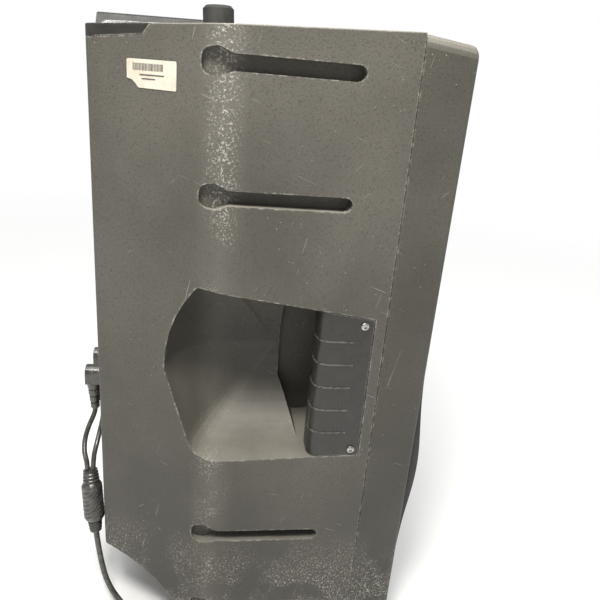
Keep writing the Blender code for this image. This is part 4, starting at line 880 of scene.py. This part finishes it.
def add_surround(finishes):
    """The rubber half roll, in one fixed shape."""
    roll = []
    under = []
    for step in range(ROLL_STEPS + 1):
        angle = math.pi * (1 - step / ROLL_STEPS)
        climb = ROLL_CLIMB * step / ROLL_STEPS
        rise = ROLL_INNER_HEIGHT + climb + ROLL_RISE * math.sin(angle)
        inner = ROLL_RADIUS - RUBBER_THICKNESS
        roll.append((ROLL_MIDDLE + ROLL_RADIUS * math.cos(angle), rise))
        under.append((ROLL_MIDDLE + inner * math.cos(angle), rise - RUBBER_THICKNESS))
    profile = [*under, *SURROUND_RIM, *reversed(roll)]
    surround = lathe("rubber_surround", profile, 96, WOOFER_CENTRE, FORWARDS)
    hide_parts("woofer_surround")
    dressed(surround, finishes, "rubber", smooth=50)
    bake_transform(surround)


def add_spider(finishes):
    """The corrugated cloth disc behind the cone, in one fixed shape."""
    high = []
    low = []
    for step in range(SPIDER_STEPS + 1):
        share = step / SPIDER_STEPS
        radius = SPIDER_INNER + (SPIDER_OUTER - SPIDER_INNER) * share
        wave = SPIDER_WAVE * math.sin(share * SPIDER_WAVES * 2 * math.pi)
        height = SPIDER_HEIGHT + SPIDER_CLIMB * share + wave
        high.append((radius, height))
        low.append((radius, height - CLOTH_THICKNESS))
    spider = lathe("corrugated_spider", [*low, *reversed(high)], 72, WOOFER_CENTRE, FORWARDS)
    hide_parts("woofer_spider")
    dressed(spider, finishes, "cloth", smooth=60)
    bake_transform(spider)


# ---- Screws, junction, label print and panel marks ----------------------------------------
# Screw heads as (radius, height, length of shank below the seat).
GRIP_SCREW = (0.0045, 0.0027, 0.0040)
GRIP_SCREW_SEAT = 0.0003
PANEL_SCREW = (0.0036, 0.0021, 0.0001)
PANEL_SCREW_INSET = 0.0075
SHANK_RADIUS = 0.0020
SEAT_LIFT = 0.0001
# The junction's rings, its neck, its barrel and the finger ribs round it.
JUNCTION_GAP = 0.0003
RING_STRETCH = 0.0145
RING_START = 0.0015
RING_PITCH = 0.0042
RING_DEPTH = 0.0013
NECK_RADIUS = 0.0086
BARREL_RADIUS = 0.0125
BARREL_RISE = 0.0070
RIB_PITCH = 0.0056
RIB_DEPTH = 0.0011
RIB_SLANT = math.tan(math.radians(32))
RIB_END = 0.0225
RIB_FADE = 0.002
# Print on the label, and tick marks round the knobs.
LABEL_FACE = 0.00042
INK_DEPTH = 0.00006
BAR_COUNT = 26
BARS_START = -0.0190
BAR_LOW, BAR_HIGH = 0.0030, 0.0092
RULES = ((-0.0120, 0.0130, -0.0012), (-0.0100, 0.0040, -0.0046))
RULE_HEIGHT = 0.0011
TICKS = 11
TICK_INNER, TICK_OUTER = 0.0112, 0.0134
TICK_HALF_WIDTH = 0.0003
TICK_DEPTH = 0.00005


def screw_head(bm, centre, axis, radius, height, shank):
    """A pan head with a hexagonal socket, on a short shank."""
    profile = [
        (SHANK_RADIUS, -shank, False),
        (SHANK_RADIUS, 0.0, False),
        (radius, 0.0, False),
        (radius, height * 0.30, False),
        (radius * 0.93, height * 0.62, False),
        (radius * 0.74, height * 0.88, False),
        (radius * 0.52, height, False),
        (radius * 0.46, height * 0.95, True),
        (radius * 0.44, height * 0.35, True),
    ]
    turn = turn_to(axis)
    rings = []
    for ring_radius, rise, hexagonal in profile:

        def shape(angle, reach=ring_radius, rise=rise, hexagonal=hexagonal):
            if hexagonal:
                reach /= math.cos(math.remainder(angle, math.pi / 3)) * 1.12
            return reach, rise

        rings.append(ring_of_points(bm, 24, centre, turn, shape))
    bridge(bm, rings)
    bm.faces.new(rings[0])
    bm.faces.new(rings[-1])


def add_grip_screws(finishes):
    for label, side in (("left", -1), ("right", 1)):
        for number in (1, 2):
            node = f"grip_screw_{label}_{number}"
            low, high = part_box(node)
            middle = (low + high) / 2
            middle.x = side * (HALF_WIDTH - GRIP_SCREW_SEAT)
            bm = bmesh.new()
            screw_head(bm, middle, (side, 0, 0), *GRIP_SCREW)
            screw = outward_piece(f"hex_screw_{label}_{number}", bm)
            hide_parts(node)
            finished(screw, finishes, "plated_steel", smooth=30)


def add_panel_screws(finishes):
    """Screws along the amplifier panel's edges."""
    low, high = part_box("amp_panel")
    left, right = low.x + PANEL_SCREW_INSET, high.x - PANEL_SCREW_INSET
    bottom, top = low.z + PANEL_SCREW_INSET, high.z - PANEL_SCREW_INSET
    places = [(x, bottom + (top - bottom) * step / 3) for x in (left, right) for step in range(4)]
    places += [(0.0, bottom), (0.0, top)]
    bm = bmesh.new()
    for x, z in places:
        screw_head(bm, (x, high.y + SEAT_LIFT, z), (0, 1, 0), *PANEL_SCREW)
    finished(outward_piece("panel_screws", bm), finishes, "coated_steel", smooth=30)


def junction_radius(reach, height):
    """Outer radius of the junction at a height along it, from its own ends and rings."""
    from_end = reach - abs(height)
    if from_end < RING_STRETCH:
        ring = math.sin(math.pi * (from_end - RING_START) / RING_PITCH) ** 2
        base = 0.0062 + 0.11 * from_end if height < 0 else 0.0076 + 0.09 * from_end
        return base + RING_DEPTH * ring
    rise = min((from_end - RING_STRETCH) / BARREL_RISE, 1.0)
    return NECK_RADIUS + (BARREL_RADIUS - NECK_RADIUS) * math.sin(rise * math.pi / 2)


def ribbed_radius(reach, height, angle):
    """The junction's radius with its slanting ribs, which fade out at both ends."""
    radius = junction_radius(reach, height)
    room = reach - RIB_END - abs(height)
    if room > 0:
        phase = (height + RIB_SLANT * radius * math.cos(angle)) / RIB_PITCH
        fade = min(room / RIB_FADE, 1.0)
        radius -= RIB_DEPTH * fade * (0.5 + 0.5 * math.cos(2 * math.pi * phase)) ** 2
    return radius


def add_junction(finishes):
    """The moulded Y-junction: rings at both ends and slanting finger ribs round the barrel."""
    axis = JUNCTION_TOP - JUNCTION_LOW
    reach = axis.length / 2 - JUNCTION_GAP
    centre = (JUNCTION_TOP + JUNCTION_LOW) / 2
    turn = turn_to(axis)
    stations = 150
    bm = bmesh.new()
    rings = []
    for station in range(stations + 1):
        height = -reach + 2 * reach * station / stations

        def shape(angle, height=height):
            return ribbed_radius(reach, height, angle), height

        rings.append(ring_of_points(bm, 56, centre, turn, shape))
    bridge(bm, rings)
    bm.faces.new(rings[0])
    bm.faces.new(rings[-1])
    junction = outward_piece("ribbed_junction", bm)
    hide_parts("cable_junction")
    return finished(junction, finishes, "cable_jacket", smooth=50)


def add_box(bm, low, high, turn, about):
    """A small box, given before it is turned and moved into place."""
    made = bmesh.ops.create_cube(bm, size=1.0)["verts"]
    size = Vector(high) - Vector(low)
    bmesh.ops.scale(bm, vec=size, verts=made)
    bmesh.ops.translate(bm, vec=Vector(low) + size / 2, verts=made)
    bmesh.ops.rotate(bm, cent=(0, 0, 0), matrix=turn, verts=made)
    bmesh.ops.translate(bm, vec=about, verts=made)


def add_ink(name, bm, finishes, ink):
    """Print that rides on the cabinet, with its ink's finish."""
    item = outward_piece(name, bm)
    item.data.materials.append(finishes[ink])
    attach(item, "cabinet")


def add_label_print(finishes):
    """Plain bars and short rules on the label, which stand for print and encode nothing."""
    low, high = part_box("asset_label")
    middle = (low + high) / 2
    outward = Vector((-math.cos(FACET_ANGLE), math.sin(FACET_ANGLE), 0.0))
    level = Vector((0.0, 0.0, 1.0)).cross(outward)
    turn = Matrix((level, (0.0, 0.0, 1.0), outward)).transposed()
    bm = bmesh.new()
    ink = LABEL_FACE + INK_DEPTH
    across = BARS_START
    for index in range(BAR_COUNT):
        width = 0.00035 + 0.00055 * ((index * 0.618034) % 1.0)
        add_box(bm, (across, BAR_LOW, LABEL_FACE), (across + width, BAR_HIGH, ink), turn, middle)
        across += width + 0.00040 + 0.00040 * ((index * 0.381966 + 0.3) % 1.0)
    for start, end, height in RULES:
        add_box(bm, (start, height, LABEL_FACE), (end, height + RULE_HEIGHT, ink), turn, middle)
    add_ink("label_print", bm, finishes, "printed_ink")


def add_control_marks(finishes):
    """Eleven pale ticks round each level knob."""
    bm = bmesh.new()
    face = PLATE_OUTER_Y + 0.00002
    for number in (1, 2, 3):
        low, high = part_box(f"level_knob_{number}")
        place = Vector(((low.x + high.x) / 2, face, low.z + (high.x - low.x) / 2))
        for step in range(TICKS):
            turn = Matrix.Rotation(math.radians(-150 + 30 * step), 3, "Y")
            inner = (-TICK_HALF_WIDTH, 0.0, TICK_INNER)
            add_box(bm, inner, (TICK_HALF_WIDTH, TICK_DEPTH, TICK_OUTER), turn, place)
    add_ink("control_marks", bm, finishes, "pale_ink")


def main():
    add_camera()
    finishes = make_finishes()
    junction = add_junction(finishes)
    add_tails(finishes)
    add_trunk(finishes)
    add_lights()
    add_floor()
    finish_frame(finishes)
    add_grille(finishes)
    add_surround(finishes)
    add_spider(finishes)
    add_grip_screws(finishes)
    add_panel_screws(finishes)
    add_label_print(finishes)
    add_control_marks(finishes)


main()
